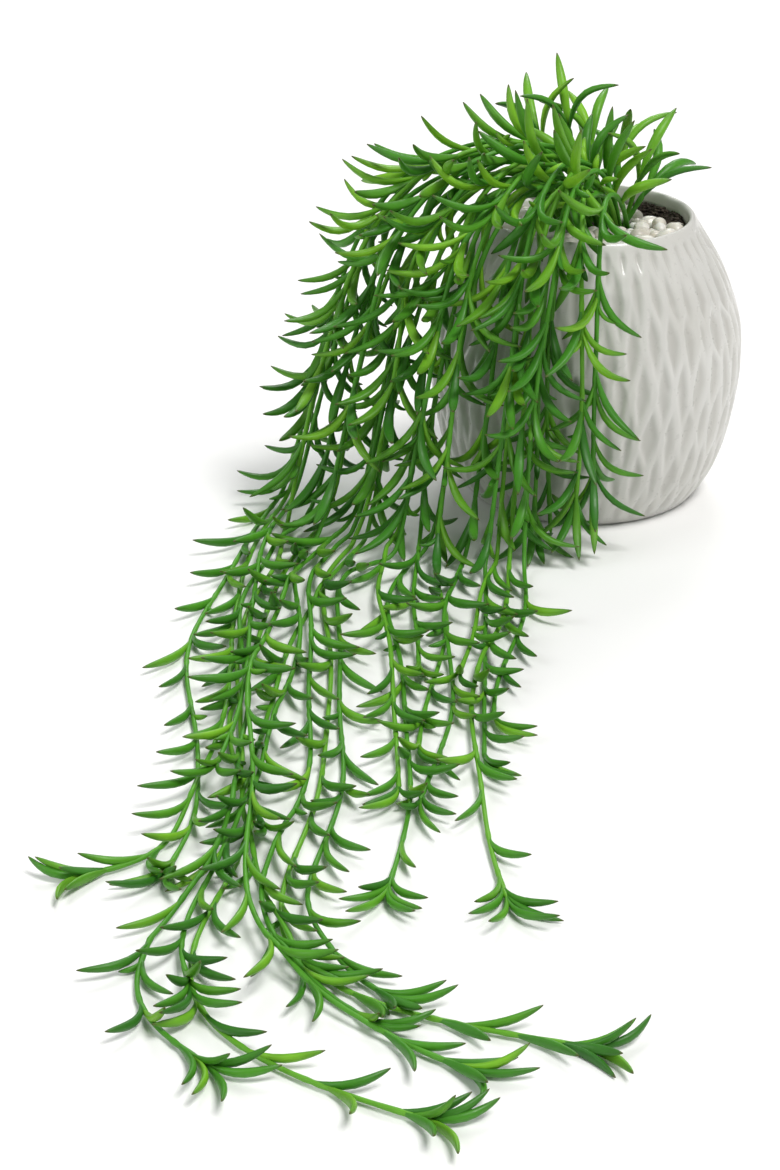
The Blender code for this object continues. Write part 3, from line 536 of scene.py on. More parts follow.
def place_leaf(stems, slot, turn, crowd, rng):
    """The first of several turns round the stem in which the leaf has room, if any."""
    number, q, k, size, tip = slot[1:]
    stem = stems[number]
    base, t, x, y = stem_axes(stem, q)
    first = rng.uniform(0, math.tau)
    vary = rng.uniform(-1, 1, 5)
    if is_bare(turn, number, stem, k, tip, base):
        return None
    lies = (base[2] < LYING_HEIGHT and abs(t[2]) < LYING_SLOPE
            and math.hypot(base[0], base[1]) > 0.07)
    lift, lift_spread = LIFT_LYING if lies else LIFT_HANGING
    bend, bend_spread = BEND_LYING if lies else BEND_TIP if tip else BEND_HANGING
    width = (LEAF_WIDTH[1] + (LEAF_WIDTH[0] - LEAF_WIDTH[1])
             * (size - LEAF_LENGTH[1]) / (LEAF_LENGTH[0] - LEAF_LENGTH[1]))
    gap = CLEAR if turn == 1 else -0.0002
    for j in range(LEAF_TRIES):
        psi = first + j * GOLDEN_TURN
        if lies:
            # to either side of a stem that lies down, rising as little as there is room
            rise = math.radians(4 + 9 * first / math.pi + 7 * (j // 2))
            psi = rise if (k + j + number) % 2 else math.pi - rise
        leaf = dict(stem=number, base=base, tangent=t,
                    normal=math.cos(psi) * x + math.sin(psi) * y,
                    length=(size * (1.0 + 0.13 * vary[0]) * (1.0 - 0.012 * j)
                            * (YOUNG_LENGTH if turn == YOUNG else 1.0)),
                    width=width * (YOUNG_WIDTH if turn == YOUNG else GROWN_WIDTH),
                    lift=math.radians(lift + lift_spread * vary[1]),
                    bend=math.radians(bend + bend_spread * vary[2]) * (1.0 - 0.010 * j),
                    drift=0.10 * vary[3], tone=vary[4])
        xyz, rad = leaf_beads(leaf, TURN_SLIM[turn - 1])
        if not outside_pot(xyz, rad, gap):
            continue
        n = len(rad)
        own_leaves = int((0.50 if tip else 0.14) * n)
        if crowd.room(xyz, rad, number, int(0.50 * n), own_leaves, gap) >= gap:
            crowd.add(xyz, rad, number + LEAF_GROUP)
            crowd.freeze()
            return leaf
    return None


def place_leaves(stems):
    rng = np.random.RandomState(SEED + 1)
    crowd = measure_stems(stems)
    leaves = []
    for turn in TURNS:
        for slot in leaf_slots(stems, turn):
            leaf = place_leaf(stems, slot, turn, crowd, rng)
            if leaf is not None:
                leaves.append(leaf)
    return leaves


# The pot's net of long staggered cells, as in its solid.
NET_COLUMNS = 88
NET_ROWS = 6
NET_FOOT = 0.0045
NET_TOP = 0.1142
NET_DEPTH = 0.0014
NET_DRIFT = 0.30
RIDGE_WIDTH = 0.0024
POT_COLUMNS = 640
# radius and height of the foot and of the lip
POT_FOOT = ((0.0430, 0.0000), (0.0474, 0.0000), (0.0483, 0.0005))
POT_LIP = ((0.0447, 0.1146), (0.0436, 0.1164), (0.0427, 0.1176), (0.0418, 0.1180),
           (0.0409, 0.1175), (0.0404, 0.1162), (0.0402, 0.1135))

# The bed of pebbles, as in its solid, and the sector between two angles that it leaves bare.
BED_BOTTOM = SOIL_TOP + 0.0003
BED_TOP = BED_BOTTOM + 0.0020
BED_RADIUS = 0.0378
BED_HOLE = 0.0184
BED_REACH = 0.0398
BARE_FROM = math.radians(8)
BARE_TO = math.radians(58)
BARE_REACH = 0.0345
PEBBLES = 38
FILLERS = 170
# how far the soil is heaped up there, how far the pebbles sink there, and its crumbs
HEAP = 0.0038
BARE_SINK = 0.0030
CRUMBS = 420
SOIL_TURNS = 96

# Shares of a leaf's length and width, from inside the stem to the tip.
LEAF_T = np.array([-0.03, 0.0, 0.05, 0.12, 0.21, 0.32, 0.44, 0.56, 0.67, 0.78, 0.87, 0.94, 0.985,
                   1.0])
LEAF_W = np.array([0.10, 0.24, 0.30, 0.40, 0.58, 0.80, 0.95, 1.0, 0.95, 0.80, 0.60, 0.36, 0.14,
                   0.0])
LEAF_SIDES = 10
STEM_SIDES = 10
STEM_STEP = 0.0022
STEM_SWELL = 0.24
ROOT_CURL = 0.40
SURFACE = 0.0001

# Finishes.
GLAZE_LIGHT = (0.66, 0.655, 0.625, 1.0)
GLAZE_WARM = (0.62, 0.612, 0.575, 1.0)
# darker colour for the hollows of the net: partly glaze pooled there, partly painted shade in the
# recesses
GLAZE_POOL_AND_SHADE = (0.48, 0.472, 0.435, 1.0)
LEAF_LIGHT = (0.255, 0.570, 0.026, 1.0)
LEAF_MIDDLE = (0.079, 0.310, 0.020, 1.0)
LEAF_DEEP = (0.014, 0.105, 0.013, 1.0)
LEAF_TIP = (0.040, 0.140, 0.014, 1.0)
TIP_SCAR = (0.080, 0.070, 0.020, 1.0)
LEAF_SHADE = (0.86, 0.90, 0.82, 1.0)
PEBBLE_LIGHT = (0.86, 0.85, 0.82, 1.0)
PEBBLE_WARM = (0.74, 0.72, 0.67, 1.0)
PEBBLE_CREAM = (0.90, 0.86, 0.80, 1.0)
SOIL_DARK = (0.030, 0.022, 0.016, 1.0)
SOIL_BROWN = (0.075, 0.055, 0.040, 1.0)
FLOOR_LIGHT = (0.93, 0.93, 0.925, 1.0)
FLOOR_DEEP = (0.90, 0.90, 0.895, 1.0)
WHITE = (1.0, 1.0, 1.0, 1.0)

# Camera and lights: place, size as seen from the object in degrees, strength and colour.
CAMERA_PLACE = (-0.081, -1.0, 0.419)
CAMERA_DROP = 25.1
CAMERA_LENS = 78.2
LIGHTS = (("key", (0.95, -0.95, 2.60), 22.0, 2.40, (1.0, 0.99, 0.975)),
          ("fill", (-2.10, -1.10, 1.60), 33.0, 0.85, (0.97, 0.985, 1.0)),
          ("back", (0.20, 2.40, 2.20), 24.0, 1.00, (1.0, 1.0, 1.0)))
LIGHT_TARGET = (-0.06, -0.16, 0.05)
WORLD_STRENGTH = 0.24
FLOOR_HALF = 6
FLOOR_DROP = 0.00005


# Camera, floor and light.
def new_object(name, data):
    made = bpy.data.objects.new(name, data)
    bpy.context.scene.collection.objects.link(made)
    return made


def make_camera():
    data = bpy.data.cameras.new("camera")
    data.lens = CAMERA_LENS
    data.sensor_width = 36.0
    data.sensor_fit = "AUTO"
    camera = new_object("camera", data)
    camera.location = CAMERA_PLACE
    camera.rotation_euler = (math.radians(90.0 - CAMERA_DROP), 0.0, 0.0)
    bpy.context.scene.camera = camera


def soft_light(name, place, angle, strength, colour):
    """A wide, even light: its size as seen from the object is the angle."""
    data = bpy.data.lights.new(name, "SUN")
    data.angle = math.radians(angle)
    data.energy = strength
    data.color = colour
    lamp = new_object(name, data)
    lamp.location = place
    aim = Vector(LIGHT_TARGET) - Vector(place)
    lamp.rotation_euler = aim.to_track_quat("-Z", "Y").to_euler()


def make_studio():
    bpy.context.scene.view_settings.view_transform = "Standard"
    world = bpy.data.worlds.new("studio")
    world.use_nodes = True
    tree = world.node_tree
    back = tree.nodes["Background"]
    set_inputs(back, Color=WHITE)
    # the backdrop itself is as pale as the floor; what it sheds on the object is softer
    path = add_node(tree, "LightPath")
    shed = add_node(tree, "MapRange")
    set_inputs(shed, To_Min=WORLD_STRENGTH, To_Max=1.0)
    tree.links.new(path.outputs["Is Camera Ray"], shed.inputs["Value"])
    tree.links.new(shed.outputs["Result"], back.inputs["Strength"])
    bpy.context.scene.world = world
    for light in LIGHTS:
        soft_light(*light)
    mesh = bpy.data.meshes.new("floor")
    h = FLOOR_HALF
    mesh.from_pydata([(-h, -h, 0), (h, -h, 0), (h, h, 0), (-h, h, 0)], [], [(0, 1, 2, 3)])
    floor = new_object("floor", mesh)
    floor.location.z = -FLOOR_DROP
    mesh.materials.append(paper_floor())


# Shared shader effects.
def new_group(name, inputs, outputs):
    """A node group; each of its sockets is given as a label and a kind."""
    group = bpy.data.node_groups.new(name, "ShaderNodeTree")
    for way, sockets in (("INPUT", inputs), ("OUTPUT", outputs)):
        for label, kind in sockets:
            group.interface.new_socket(label, in_out=way, socket_type="NodeSocket" + kind)
    return group, group.nodes.new("NodeGroupInput"), group.nodes.new("NodeGroupOutput")


def add_node(tree, kind, **settings):
    made = tree.nodes.new("ShaderNode" + kind)
    for key, value in settings.items():
        setattr(made, key, value)
    return made


def set_inputs(made, **values):
    """Sets a node's inputs; an underscore stands for the space in a socket's name."""
    for key, value in values.items():
        made.inputs[key.replace("_", " ")].default_value = value


def mix_colour(tree, factor, a, b, blend="MIX"):
    """A colour mix; each of the three is a socket or a plain value."""
    mix = add_node(tree, "Mix", data_type="RGBA", blend_type=blend)
    for socket, value in ((mix.inputs[0], factor), (mix.inputs[6], a), (mix.inputs[7], b)):
        if isinstance(value, bpy.types.NodeSocket):
            tree.links.new(value, socket)
        else:
            socket.default_value = value
    return mix.outputs[2]


def remap(tree, value, low, high, to_low=0.0, to_high=1.0):
    made = add_node(tree, "MapRange", interpolation_type="SMOOTHSTEP")
    tree.links.new(value, made.inputs["Value"])
    set_inputs(made, From_Min=low, From_Max=high, To_Min=to_low, To_Max=to_high)
    return made.outputs["Result"]


def own_noise(group, start, detail):
    """Noise over the object's own space, at the scale that the group is given."""
    place = add_node(group, "TexCoord")
    noise = add_node(group, "TexNoise")
    set_inputs(noise, Detail=detail)
    group.links.new(place.outputs["Object"], noise.inputs["Vector"])
    group.links.new(start.outputs["Scale"], noise.inputs["Scale"])
    return noise.outputs[0]


def mottle_group():
    """A slow drift between two colours over the object's own space."""
    group, start, end = new_group(
        "mottle",
        (("Colour A", "Color"), ("Colour B", "Color"), ("Scale", "Float")),
        (("Color", "Color"),))
    share = remap(group, own_noise(group, start, 3.0), 0.32, 0.68)
    drift = mix_colour(group, share, start.outputs["Colour A"], start.outputs["Colour B"])
    group.links.new(drift, end.inputs["Color"])
    return group


def relief_group():
    """Fine unevenness as a height, and the roughness that goes with it."""
    group, start, end = new_group(
        "fine_relief",
        (("Scale", "Float"), ("Rough Low", "Float"), ("Rough High", "Float")),
        (("Height", "Float"), ("Roughness", "Float")))
    height = own_noise(group, start, 4.0)
    rough = add_node(group, "MapRange")
    set_inputs(rough, From_Min=0.3, From_Max=0.7)
    group.links.new(height, rough.inputs["Value"])
    group.links.new(start.outputs["Rough Low"], rough.inputs["To Min"])
    group.links.new(start.outputs["Rough High"], rough.inputs["To Max"])
    group.links.new(height, end.inputs["Height"])
    group.links.new(rough.outputs["Result"], end.inputs["Roughness"])
    return group


def new_material(name):
    made = bpy.data.materials.new(name)
    made.use_nodes = True
    return made, made.node_tree, made.node_tree.nodes["Principled BSDF"]


def use_mottle(tree, a, b, scale):
    made = add_node(tree, "Group", node_tree=MOTTLE)
    set_inputs(made, Colour_A=a, Colour_B=b, Scale=scale)
    return made.outputs["Color"]


def finish_skin(tree, skin, base, scale, rough, strength, distance):
    """The skin's colour, its fine relief and a roughness that goes with that."""
    tree.links.new(base, skin.inputs["Base Color"])
    made = add_node(tree, "Group", node_tree=RELIEF)
    set_inputs(made, Scale=scale, Rough_Low=rough[0], Rough_High=rough[1])
    bump = add_node(tree, "Bump")
    set_inputs(bump, Strength=strength, Distance=distance)
    tree.links.new(made.outputs["Height"], bump.inputs["Height"])
    tree.links.new(bump.outputs["Normal"], skin.inputs["Normal"])
    tree.links.new(made.outputs["Roughness"], skin.inputs["Roughness"])


def read_value(tree, name):
    return add_node(tree, "Attribute", attribute_name=name).outputs["Fac"]


# The finishes.
def paper_floor():
    made, tree, skin = new_material("pale_floor")
    drift = use_mottle(tree, FLOOR_LIGHT, FLOOR_DEEP, 3.0)
    finish_skin(tree, skin, drift, 300.0, (0.75, 0.85), 0.05, 0.0002)
    set_inputs(skin, Specular_IOR_Level=0.2)
    return made


def white_glaze():
    made, tree, skin = new_material("white_glaze")
    drift = use_mottle(tree, GLAZE_LIGHT, GLAZE_WARM, 26.0)
    hollow = read_value(tree, "hollow")
    # the hollows of the net are darkened: partly pooled glaze, partly painted shade in the recesses
    pooled_and_shaded = mix_colour(tree, remap(tree, hollow, 0.1, 1.0, 0.0, 0.7), drift, GLAZE_POOL_AND_SHADE)
    finish_skin(tree, skin, pooled_and_shaded, 420.0, (0.26, 0.36), 0.06, 0.0003)
    set_inputs(skin, Coat_Weight=0.35, Coat_Roughness=0.12)
    return made


def leaf_skin(name, rough):
    """Soft satin green: each leaf has its own tone with painted light and shade added by where it
    lies and faces, painted shade on its inner side, and its tip is darker.
    """
    made, tree, skin = new_material(name)
    tone = read_value(tree, "tone")
    along = read_value(tree, "along")
    # for leaves the tone carries painted light: lighter where a leaf faces up and lies high,
    # painted shade where it lies low
    base = mix_colour(tree, remap(tree, tone, -1.0, 0.1), LEAF_DEEP, LEAF_MIDDLE)
    base = mix_colour(tree, remap(tree, tone, 0.0, 1.0), base, LEAF_LIGHT)
    drift = use_mottle(tree, LEAF_SHADE, WHITE, 120.0)
    base = mix_colour(tree, 1.0, base, drift, "MULTIPLY")
    # painted shade: the inner, flatter side of each leaf is darkened toward deep green, while the
    # convex outer side and the stems keep their colour
    back = read_value(tree, "outer")
    base = mix_colour(tree, remap(tree, back, 0.0, 1.0, 0.35, 0.0), base, LEAF_DEEP)
    base = mix_colour(tree, remap(tree, along, 0.62, 1.0, 0.0, 0.55), base, LEAF_TIP)
    base = mix_colour(tree, remap(tree, along, 0.925, 0.985, 0.0, 0.85), base, TIP_SCAR)
    finish_skin(tree, skin, base, 700.0, rough, 0.10, 0.0003)
    set_inputs(skin, Specular_IOR_Level=0.34, Subsurface_Weight=0.12,
               Subsurface_Radius=(0.4, 1.0, 0.15), Subsurface_Scale=0.0015)
    return made


def polished_pebbles():
    made, tree, skin = new_material("white_pebbles")
    drift = use_mottle(tree, PEBBLE_LIGHT, PEBBLE_WARM, 180.0)
    tone = read_value(tree, "tone")
    own = mix_colour(tree, remap(tree, tone, -1.0, 1.0), WHITE, PEBBLE_CREAM)
    base = mix_colour(tree, 1.0, drift, own, "MULTIPLY")
    finish_skin(tree, skin, base, 500.0, (0.22, 0.42), 0.15, 0.0004)
    set_inputs(skin, Subsurface_Weight=0.15, Subsurface_Radius=(1.0, 0.9, 0.7),
               Subsurface_Scale=0.002)
    return made


def dark_soil():
    made, tree, skin = new_material("dark_soil")
    drift = use_mottle(tree, SOIL_DARK, SOIL_BROWN, 350.0)
    finish_skin(tree, skin, drift, 1200.0, (0.85, 1.0), 0.8, 0.0010)
    return made


# Meshes from arrays.
def mesh_piece(name, verts, faces, material, replaced, slot, **values):
    mesh = bpy.data.meshes.new(name)
    mesh.from_pydata(verts.tolist(), [], faces)
    mesh.polygons.foreach_set("use_smooth", np.ones(len(mesh.polygons), bool))
    for label, data in values.items():
        layer = mesh.attributes.new(label, "FLOAT", "POINT")
        layer.data.foreach_set("value", np.asarray(data, np.float32))
    mesh.materials.append(material)
    mesh.validate()
    piece = new_object(name, mesh)
    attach(piece, "root")
    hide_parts(replaced)
    return piece


def closed_tube(rings, count):
    """Faces of a tube of rings whose two ends close on the two vertices after them."""
    faces = []
    k = np.arange(count)
    m = (k + 1) % count
    end = (rings - 1) * count
    for a in range(0, end, count):
        faces += np.stack((a + k, a + m, a + count + m, a + count + k), axis=1).tolist()
    faces += np.stack((m, k, np.full(count, rings * count)), axis=1).tolist()
    faces += np.stack((end + k, end + m, np.full(count, rings * count + 1)), axis=1).tolist()
    return faces


def add_part(parts, faces, verts, sides):
    """Adds a part's vertices and faces to those of a piece."""
    start = sum(map(len, parts))
    parts.append(verts)
    faces.extend([start + i for i in f] for f in sides)


def eased(t):
    return t * t * (3.0 - 2.0 * t)


# The pot.
def hashed(i, j, k):
    """An even draw in -1 to 1 that depends only on the three numbers."""
    v = math.sin(12.9898 * (i % NET_COLUMNS) + 78.233 * j + 37.719 * k) * 43758.5453
    return 2.0 * (v - math.floor(v)) - 1.0


def net_joint(i, j):
    """Angle and height of a joint of the net, or of a cell's middle between the joints."""
    step = math.tau / NET_COLUMNS
    drift = 0.0 if j in (0, NET_ROWS) else NET_DRIFT
    row = j + drift * hashed(i, j, 2)
    return step * (i + drift * hashed(i, j, 1)), NET_FOOT + (NET_TOP - NET_FOOT) * row / NET_ROWS


def ridge_field(angles, heights):
    """1 on the ridges of the net, falling to 0 in the hollows of its cells."""
    field = np.zeros((len(heights), len(angles)))
    step = math.tau / len(angles)
    radius = pot_radius(heights)
    reach = 3.2 * RIDGE_WIDTH
    for j in range(-1, NET_ROWS + 1):
        for i in range(NET_COLUMNS):
            a0, z0 = net_joint(i, j) if (i + j) % 2 == 0 else net_joint(i + 1, j)
            a1, z1 = net_joint(i + 1, j + 1) if (i + j) % 2 == 0 else net_joint(i, j + 1)
            soft = 0.45 * max(0.0, hashed(i, j, 3))
            r = float(pot_radius(0.5 * (z0 + z1)))
            low = np.searchsorted(heights, min(z0, z1) - reach)
            high = np.searchsorted(heights, max(z0, z1) + reach)
            first = int(math.floor((min(a0, a1) - reach / r) / step))
            last = int(math.ceil((max(a0, a1) + reach / r) / step))
            cols = np.arange(first, last + 1)
            rows = np.arange(low, high)
            # each ridge leaves its joint upright, crosses over and ends upright again
            t = np.clip((heights[rows] - z0) / (z1 - z0), 0.0, 1.0)
            path = a0 + (a1 - a0) * (eased(t) * 0.8 + 0.2 * t)
            gap = np.abs(cols * step - path[:, None]) * radius[rows][:, None]
            past = np.maximum(0.0, np.abs(heights[rows] - 0.5 * (z0 + z1)) - 0.5 * abs(z1 - z0))
            gap = np.hypot(gap, past[:, None])
            fade = 1.0 - soft * np.sin(math.pi * t[:, None]) ** 2
            width = RIDGE_WIDTH * (1.0 + 0.22 * hashed(i, j, 4))
            rise = fade * (0.72 * np.exp(-(gap / width) ** 3)
                           + 0.28 * np.exp(-(gap / width / 1.5) ** 2))
            field[np.ix_(rows, cols % len(angles))] += rise ** 5
    return np.minimum(field ** 0.2, 1.0)


def build_pot(material):
    wall = spline([(r, 0.0, z) for z, r in POT_WALL[1:-2]], 0.00095)
    lip = spline([wall[-1]] + [(r, 0.0, z) for r, z in POT_LIP], 0.0006)[1:, (0, 2)]
    wall = wall[:, (0, 2)]
    inside = [(r, z) for z, r in CAVITY_WALL[1:]]
    profile = np.vstack((POT_FOOT, wall, lip, inside))
    columns = np.arange(POT_COLUMNS) * (math.tau / POT_COLUMNS)
    # the net runs over the wall and the first few rings of the lip
    first = len(POT_FOOT)
    last = first + len(wall) + 7
    heights = profile[first:last, 1]
    field = ridge_field(columns, heights)
    fade = np.interp(heights, (0.0010, 0.0050, NET_TOP - 0.0010, NET_TOP + 0.0010),
                     (0.0, 1.0, 1.0, 0.0))
    sink = NET_DEPTH * (1.0 - field) * fade[:, None]
    slope = headings(profile)
    r = np.repeat(profile[:, 0:1], POT_COLUMNS, axis=1)
    z = np.repeat(profile[:, 1:2], POT_COLUMNS, axis=1)
    r[first:last] -= sink * slope[first:last, 1:2]
    z[first:last] += sink * slope[first:last, 0:1]
    hollow = np.zeros_like(r)
    hollow[first:last] = (1.0 - field) * fade[:, None]
    verts = np.stack((r * np.cos(columns), r * np.sin(columns), z), axis=-1).reshape(-1, 3)
    verts = np.vstack((verts, (0.0, 0.0, 0.0), (0.0, 0.0, profile[-1, 1])))
    mesh_piece("pot_shell", verts, closed_tube(len(profile), POT_COLUMNS), material, "pot",
               "glaze", hollow=np.concatenate((hollow.ravel(), (0.0, 0.0))))


# Soil and pebbles.
def ball(level):
    bm = bmesh.new()
    bmesh.ops.create_icosphere(bm, subdivisions=level, radius=1.0)
    verts = np.array([v.co for v in bm.verts])
    faces = [[v.index for v in f.verts] for f in bm.faces]
    bm.free()
    return verts, faces


def stone(shape, rng, place, sizes, turn, lean):
    """A worn stone: a ball with soft facets and a slow unevenness."""
    v = shape.copy()
    for _ in range(5):
        n = unit(rng.normal(size=3))
        over = np.maximum(0.0, v @ n - rng.uniform(0.72, 0.86))
        v -= 0.72 * over[:, None] * n
    for _ in range(3):
        n = rng.normal(size=3) * 1.5
        v *= 1.0 + 0.035 * np.sin(v @ n + rng.uniform(0.0, 6.3))[:, None]
    turned = np.array(Matrix.Rotation(turn, 3, "Z") @ Matrix.Rotation(lean, 3, "X"))
    return (v * sizes) @ turned.T + place


def on_bed(x, y):
    """Whether the layer that the pebbles lie in reaches this place."""
    near_gap = BARE_FROM - 0.32 < math.atan2(y, x) % math.tau < BARE_TO + 0.32
    edge = BARE_REACH - 0.002 if near_gap else BED_RADIUS
    off_hole = math.hypot(x - CLUMP[0], y - CLUMP[1]) - BED_HOLE
    return off_hole > 0.0008 and math.hypot(x, y) < 0.985 * edge - 0.0008


def bed_radius(angle):
    """How far the pebbles reach, short of the wall on one side."""
    inside = BARE_FROM < angle % math.tau < BARE_TO
    return BARE_REACH if inside else BED_REACH


def stems_in_pot(stems, above):
    """Points of the stems inside the lip, up to so far above the pebbles."""
    near = np.vstack([s["axis"][s["axis"][:, 2] < PEBBLE_TOP + above] for s in stems])
    return near[np.hypot(near[:, 0], near[:, 1]) < RIM_RADIUS]


def off_stems(near, x, y, room):
    return np.hypot(near[:, 0] - x, near[:, 1] - y).min() >= room


def crowded(place, size, others, share):
    return any(math.dist(place, p[:len(place)]) < share * (size + p[3]) for p in others)


def pebble_places(stems):
    """Seeded draws over the bed: centre, half sizes, turn and lean of each pebble."""
    rng = np.random.RandomState(SEED + 2)
    near = stems_in_pot(stems, 0.004)
    out = []
    for _ in range(4000):
        size = rng.uniform(0.0040, 0.0056) * (1.0 if len(out) < 30 else 0.8)
        r = 0.0400 * math.sqrt(rng.uniform())
        a = rng.uniform(0.0, math.tau)
        turn = rng.uniform(0.0, math.pi)
        flat = rng.uniform(0.62, 0.80)
        x, y = r * math.cos(a), r * math.sin(a)
        if len(out) == PEBBLES or r + size > bed_radius(a) or not on_bed(x, y):
            continue
        if not off_stems(near, x, y, size + 0.0018) or crowded((x, y), size, out, 0.84):
            continue
        tall = min(size * flat, 0.0032)
        z = min(BED_TOP + tall - 0.22 * size, PEBBLE_TOP - tall - 0.0003)
        z = max(z, BED_BOTTOM + tall + 0.0005)
        out.append((x, y, z, size, size * rng.uniform(0.72, 0.95), tall, turn,
                    rng.uniform(-0.25, 0.25)))
    return out


def filler_places(stems, places, rng):
    """Smaller stones that fill the gaps between the pebbles."""
    near = stems_in_pot(stems, 0.002)
    fillers = []
    for _ in range(9000):
        size = rng.uniform(0.0024, 0.0040)
        r, a = 0.0412 * math.sqrt(rng.uniform()), rng.uniform(0.0, math.tau)
        x, y = r * math.cos(a), r * math.sin(a)
        z = SOIL_TOP + rng.uniform(0.45, 1.0) * size + 0.0008
        edge = bed_radius(a) + (0.0008 if bed_radius(a) == BED_REACH else -0.0008)
        if len(fillers) == FILLERS or r + size > edge:
            continue
        place = (x, y, z)
        if (not off_stems(near, x, y, 0.82 * size + 0.0010)
                or crowded(place, size, fillers, 0.62) or crowded(place, size, places, 0.60)):
            continue
        fillers.append((x, y, z, size, size * rng.uniform(0.75, 1.0), size * 0.8,
                        rng.uniform(0.0, 3.1), rng.uniform(-0.5, 0.5)))
    return fillers


def build_pebbles(stems, material):
    rng = np.random.RandomState(SEED + 3)
    places = pebble_places(stems)
    fillers = filler_places(stems, places, rng)
    verts, faces, tones = [], [], []
    for level, group in ((3, places), (2, fillers)):
        shape, sides = ball(level)
        for x, y, z, a, b, c, turn, lean in group:
            t = min(max((math.hypot(x, y) - 0.012) / 0.016, 0.0), 1.0)
            z -= BARE_SINK * t * float(sector_share(math.atan2(y, x)))
            add_part(verts, faces, stone(shape, rng, (x, y, z), (a, b, c), turn, lean), sides)
            tones.append(np.full(len(shape), rng.uniform(-1.0, 1.0)))
    mesh_piece("pebble_bed", np.vstack(verts), faces, material, "pebbles", "pebbles",
               tone=np.concatenate(tones))


def sector_share(angle):
    """1 in the sector that the pebbles leave bare, falling to 0 at its sides."""
    away = np.abs((angle - 0.5 * (BARE_FROM + BARE_TO) + math.pi) % math.tau - math.pi)
    return eased(np.clip((0.5 * (BARE_TO - BARE_FROM) + 0.22 - away) / 0.36, 0.0, 1.0))


def soil_height(x, y):
    """Level in the middle, heaped up against the wall in the bare sector."""
    r = np.hypot(x, y)
    rise = eased(np.clip((r - 0.0320) / 0.0080, 0.0, 1.0))
    return SOIL_TOP + HEAP * rise * sector_share(np.arctan2(y, x))


def build_soil(material):
    """Loose dark soil with crumbs, seen where the pebbles stop short of the wall."""
    rng = np.random.RandomState(SEED + 4)
    rings = [(0.0400, 0.0070), (0.0430, 0.0100), (0.0545, 0.0300), (0.0570, 0.0620),
             (0.0442, 0.1000), (0.0414, SOIL_TOP - 0.0004)]
    buried = len(rings)
    rings += [(r, SOIL_TOP) for r in np.linspace(0.0408, 0.0030, 26)]
    waves = rng.normal(size=(14, 2)) * 420.0
    phase = rng.uniform(0.0, 6.3, 14)
    angles = np.arange(SOIL_TURNS) * (math.tau / SOIL_TURNS)
    verts = []
    for k, (r, z) in enumerate(rings):
        x, y = r * np.cos(angles), r * np.sin(angles)
        height = np.full(SOIL_TURNS, z)
        if k >= buried:
            height = soil_height(x, y)
            for w, p in zip(waves, phase):
                height += 0.00011 * np.sin(w[0] * x + w[1] * y + p)
            tight = np.minimum(1.0, (cavity_radius(height) - 0.0004) / r)
            x, y = x * tight, y * tight
        verts.append(np.stack((x, y, height), axis=1))
    parts = [np.vstack(verts + [[(0.0, 0.0, rings[0][1]), (0.0, 0.0, SOIL_TOP)]])]
    faces = closed_tube(len(rings), SOIL_TURNS)
    shape, sides = ball(1)
    for _ in range(CRUMBS):
        r, a = rng.uniform(0.0300, 0.0404), rng.uniform(-0.05, 1.2)
        size = rng.uniform(0.0004, 0.0012)
        x, y = r * math.cos(a), r * math.sin(a)
        place = (x, y, float(soil_height(x, y)) + 0.3 * size)
        crumb = stone(shape, rng, place, (size, 0.8 * size, 0.6 * size),
                      rng.uniform(0.0, 3.1), 0.0)
        add_part(parts, faces, crumb, sides)
    mesh_piece("soil_fill", np.vstack(parts), faces, material, "soil", "soil")


# The leafy stems.
def fine_leaf(leaf):
    """Rings of a crescent: round outside, flatter inside, drawn out at both ends."""
    point, inward, side = leaf_stations(leaf, LEAF_T)
    start = np.clip(LEAF_T / 0.22, 0.0, 1.0)
    curl = ROOT_CURL * leaf["length"] * 0.22 * (start - 0.5 * start ** 2) * np.sin(leaf["lift"])
    point = point - curl[:, None] * leaf["normal"] * (1.0 - 0.5 * start)[:, None]
    a = math.tau * (np.arange(LEAF_SIDES) + 0.5) / LEAF_SIDES
    across = 0.50 * np.cos(a)
    depth = np.where(np.sin(a) > 0, 0.26 * np.abs(np.sin(a)) ** 0.6, -0.42 * np.abs(np.sin(a)))
    width = np.maximum(LEAF_W * leaf["width"], 0.00030)
    rounder = np.interp(LEAF_T, (0.0, 0.25, 0.85, 1.0), (1.45, 1.0, 1.0, 1.3))
    rings = [point[k] + across[:, None] * side * width[k]
             + depth[:, None] * inward[k] * width[k] * rounder[k]
             for k in range(len(LEAF_T) - 1)]
    return np.vstack(rings + [point[0:1], point[-1:]]), np.sin(a)


def stem_tube(stem, leaves):
    """A round stem that tapers to its tip and swells a little where each leaf grows."""
    line = spline(stem["axis"], STEM_STEP)
    run = run_of(line)
    share = run / run[-1] * stem["size"]
    plain = np.interp(share, (0.0, 1.0), STEM_RADIUS)
    radius = plain.copy()
    for leaf in leaves:
        away = lengths(line - leaf["base"])
        swell = 1.0 + STEM_SWELL * np.exp(-(away / 0.0016) ** 2)
        radius = np.maximum(radius, plain * swell)
    radius[-1] *= 0.5
    head = headings(line)
    x = unit(np.cross(head[0], (0.31, 0.95, 0.05)))
    a = math.tau * np.arange(STEM_SIDES) / STEM_SIDES
    verts = []
    for p, t, r in zip(line, head, radius):
        x = unit(x - t * (x @ t))
        y = np.cross(t, x)
        verts.append(p + r * (np.cos(a)[:, None] * x + np.sin(a)[:, None] * y))
    verts = np.vstack(verts + [line[0:1], line[-1:] + head[-1:] * radius[-1]])
    return verts, closed_tube(len(line), STEM_SIDES), line


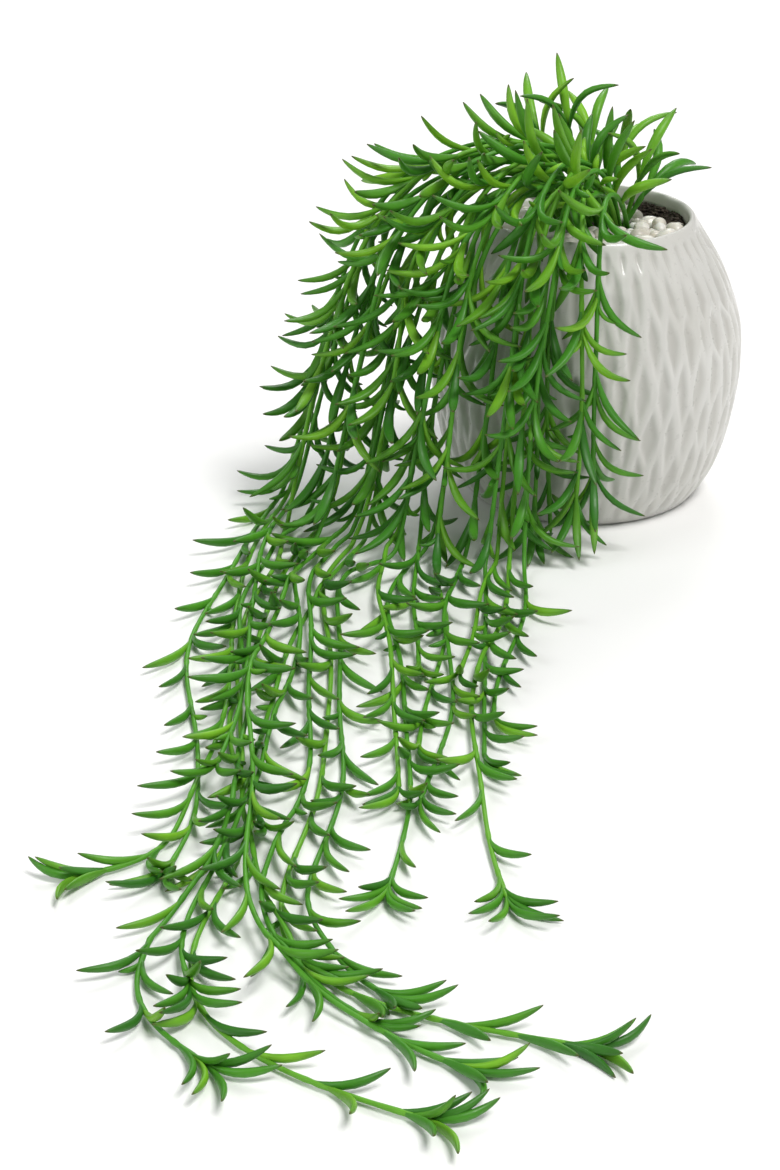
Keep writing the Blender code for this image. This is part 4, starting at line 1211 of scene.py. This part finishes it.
def tone_and_painted_light(leaf):
    """Each leaf's own random tone with painted light added: lighter on top of the arch and on what
    faces up, painted shade low down and behind.
    """
    up = leaf["normal"][2] * 0.5 + 0.5
    high = min(max(leaf["base"][2] / 0.13, 0.0), 1.0)
    return 0.62 * leaf["tone"] + 0.30 * up + 0.35 * (high - 0.5)


def build_stem(number, stem, leaves, skins):
    """One piece of a stem and its leaves: the stem takes the first skin, the leaves the second."""
    verts, faces, line = stem_tube(stem, leaves)
    shade = 0.3 * math.sin(2.7 * number)
    parts, tones = [verts], [np.full(len(verts), shade + 0.1)]
    along, outer = [np.full(len(verts), 0.3)], [np.ones(len(verts))]
    kinds = [0] * len(faces)
    rings = len(LEAF_T) - 1
    pattern = closed_tube(rings, LEAF_SIDES)
    for leaf in leaves:
        leaf = dict(leaf)
        leaf["base"] = line[lengths(line - leaf["base"]).argmin()]
        v, around = fine_leaf(leaf)
        add_part(parts, faces, v, pattern)
        kinds += [1] * len(pattern)
        # the tone holds each leaf's own hue plus painted light and shade from how high it lies and
        # how it faces
        tones.append(np.full(len(v), tone_and_painted_light(leaf)))
        along.append(np.concatenate((np.repeat(LEAF_T[:-1], LEAF_SIDES), (0.0, 1.0))))
        # outer is 1 on a leaf's convex side and 0 on its inner side, which the skin darkens as
        # painted shade
        outer.append(np.concatenate((np.tile(np.where(around > 0, 0.0, 1.0), rings), (1.0, 1.0))))
    verts = np.vstack(parts)
    verts[:, 2] = np.maximum(verts[:, 2], SURFACE)
    piece = mesh_piece(stem["name"] + "_leafy", verts, faces, skins[0],
                       stem["name"], "foliage", tone=np.concatenate(tones),
                       along=np.concatenate(along), outer=np.concatenate(outer))
    piece.data.materials.append(skins[1])
    piece.data.polygons.foreach_set("material_index", np.array(kinds, np.int32))


make_camera()
MOTTLE = mottle_group()
RELIEF = relief_group()
make_studio()
STEMS = stem_routes()
LEAVES = place_leaves(STEMS)
build_pot(white_glaze())
build_soil(dark_soil())
build_pebbles(STEMS, polished_pebbles())
SKINS = (leaf_skin("stem_green", (0.42, 0.58)), leaf_skin("leaf_green", (0.34, 0.50)))
for number, one in enumerate(STEMS):
    build_stem(number, one, [leaf for leaf in LEAVES if leaf["stem"] == number], SKINS)
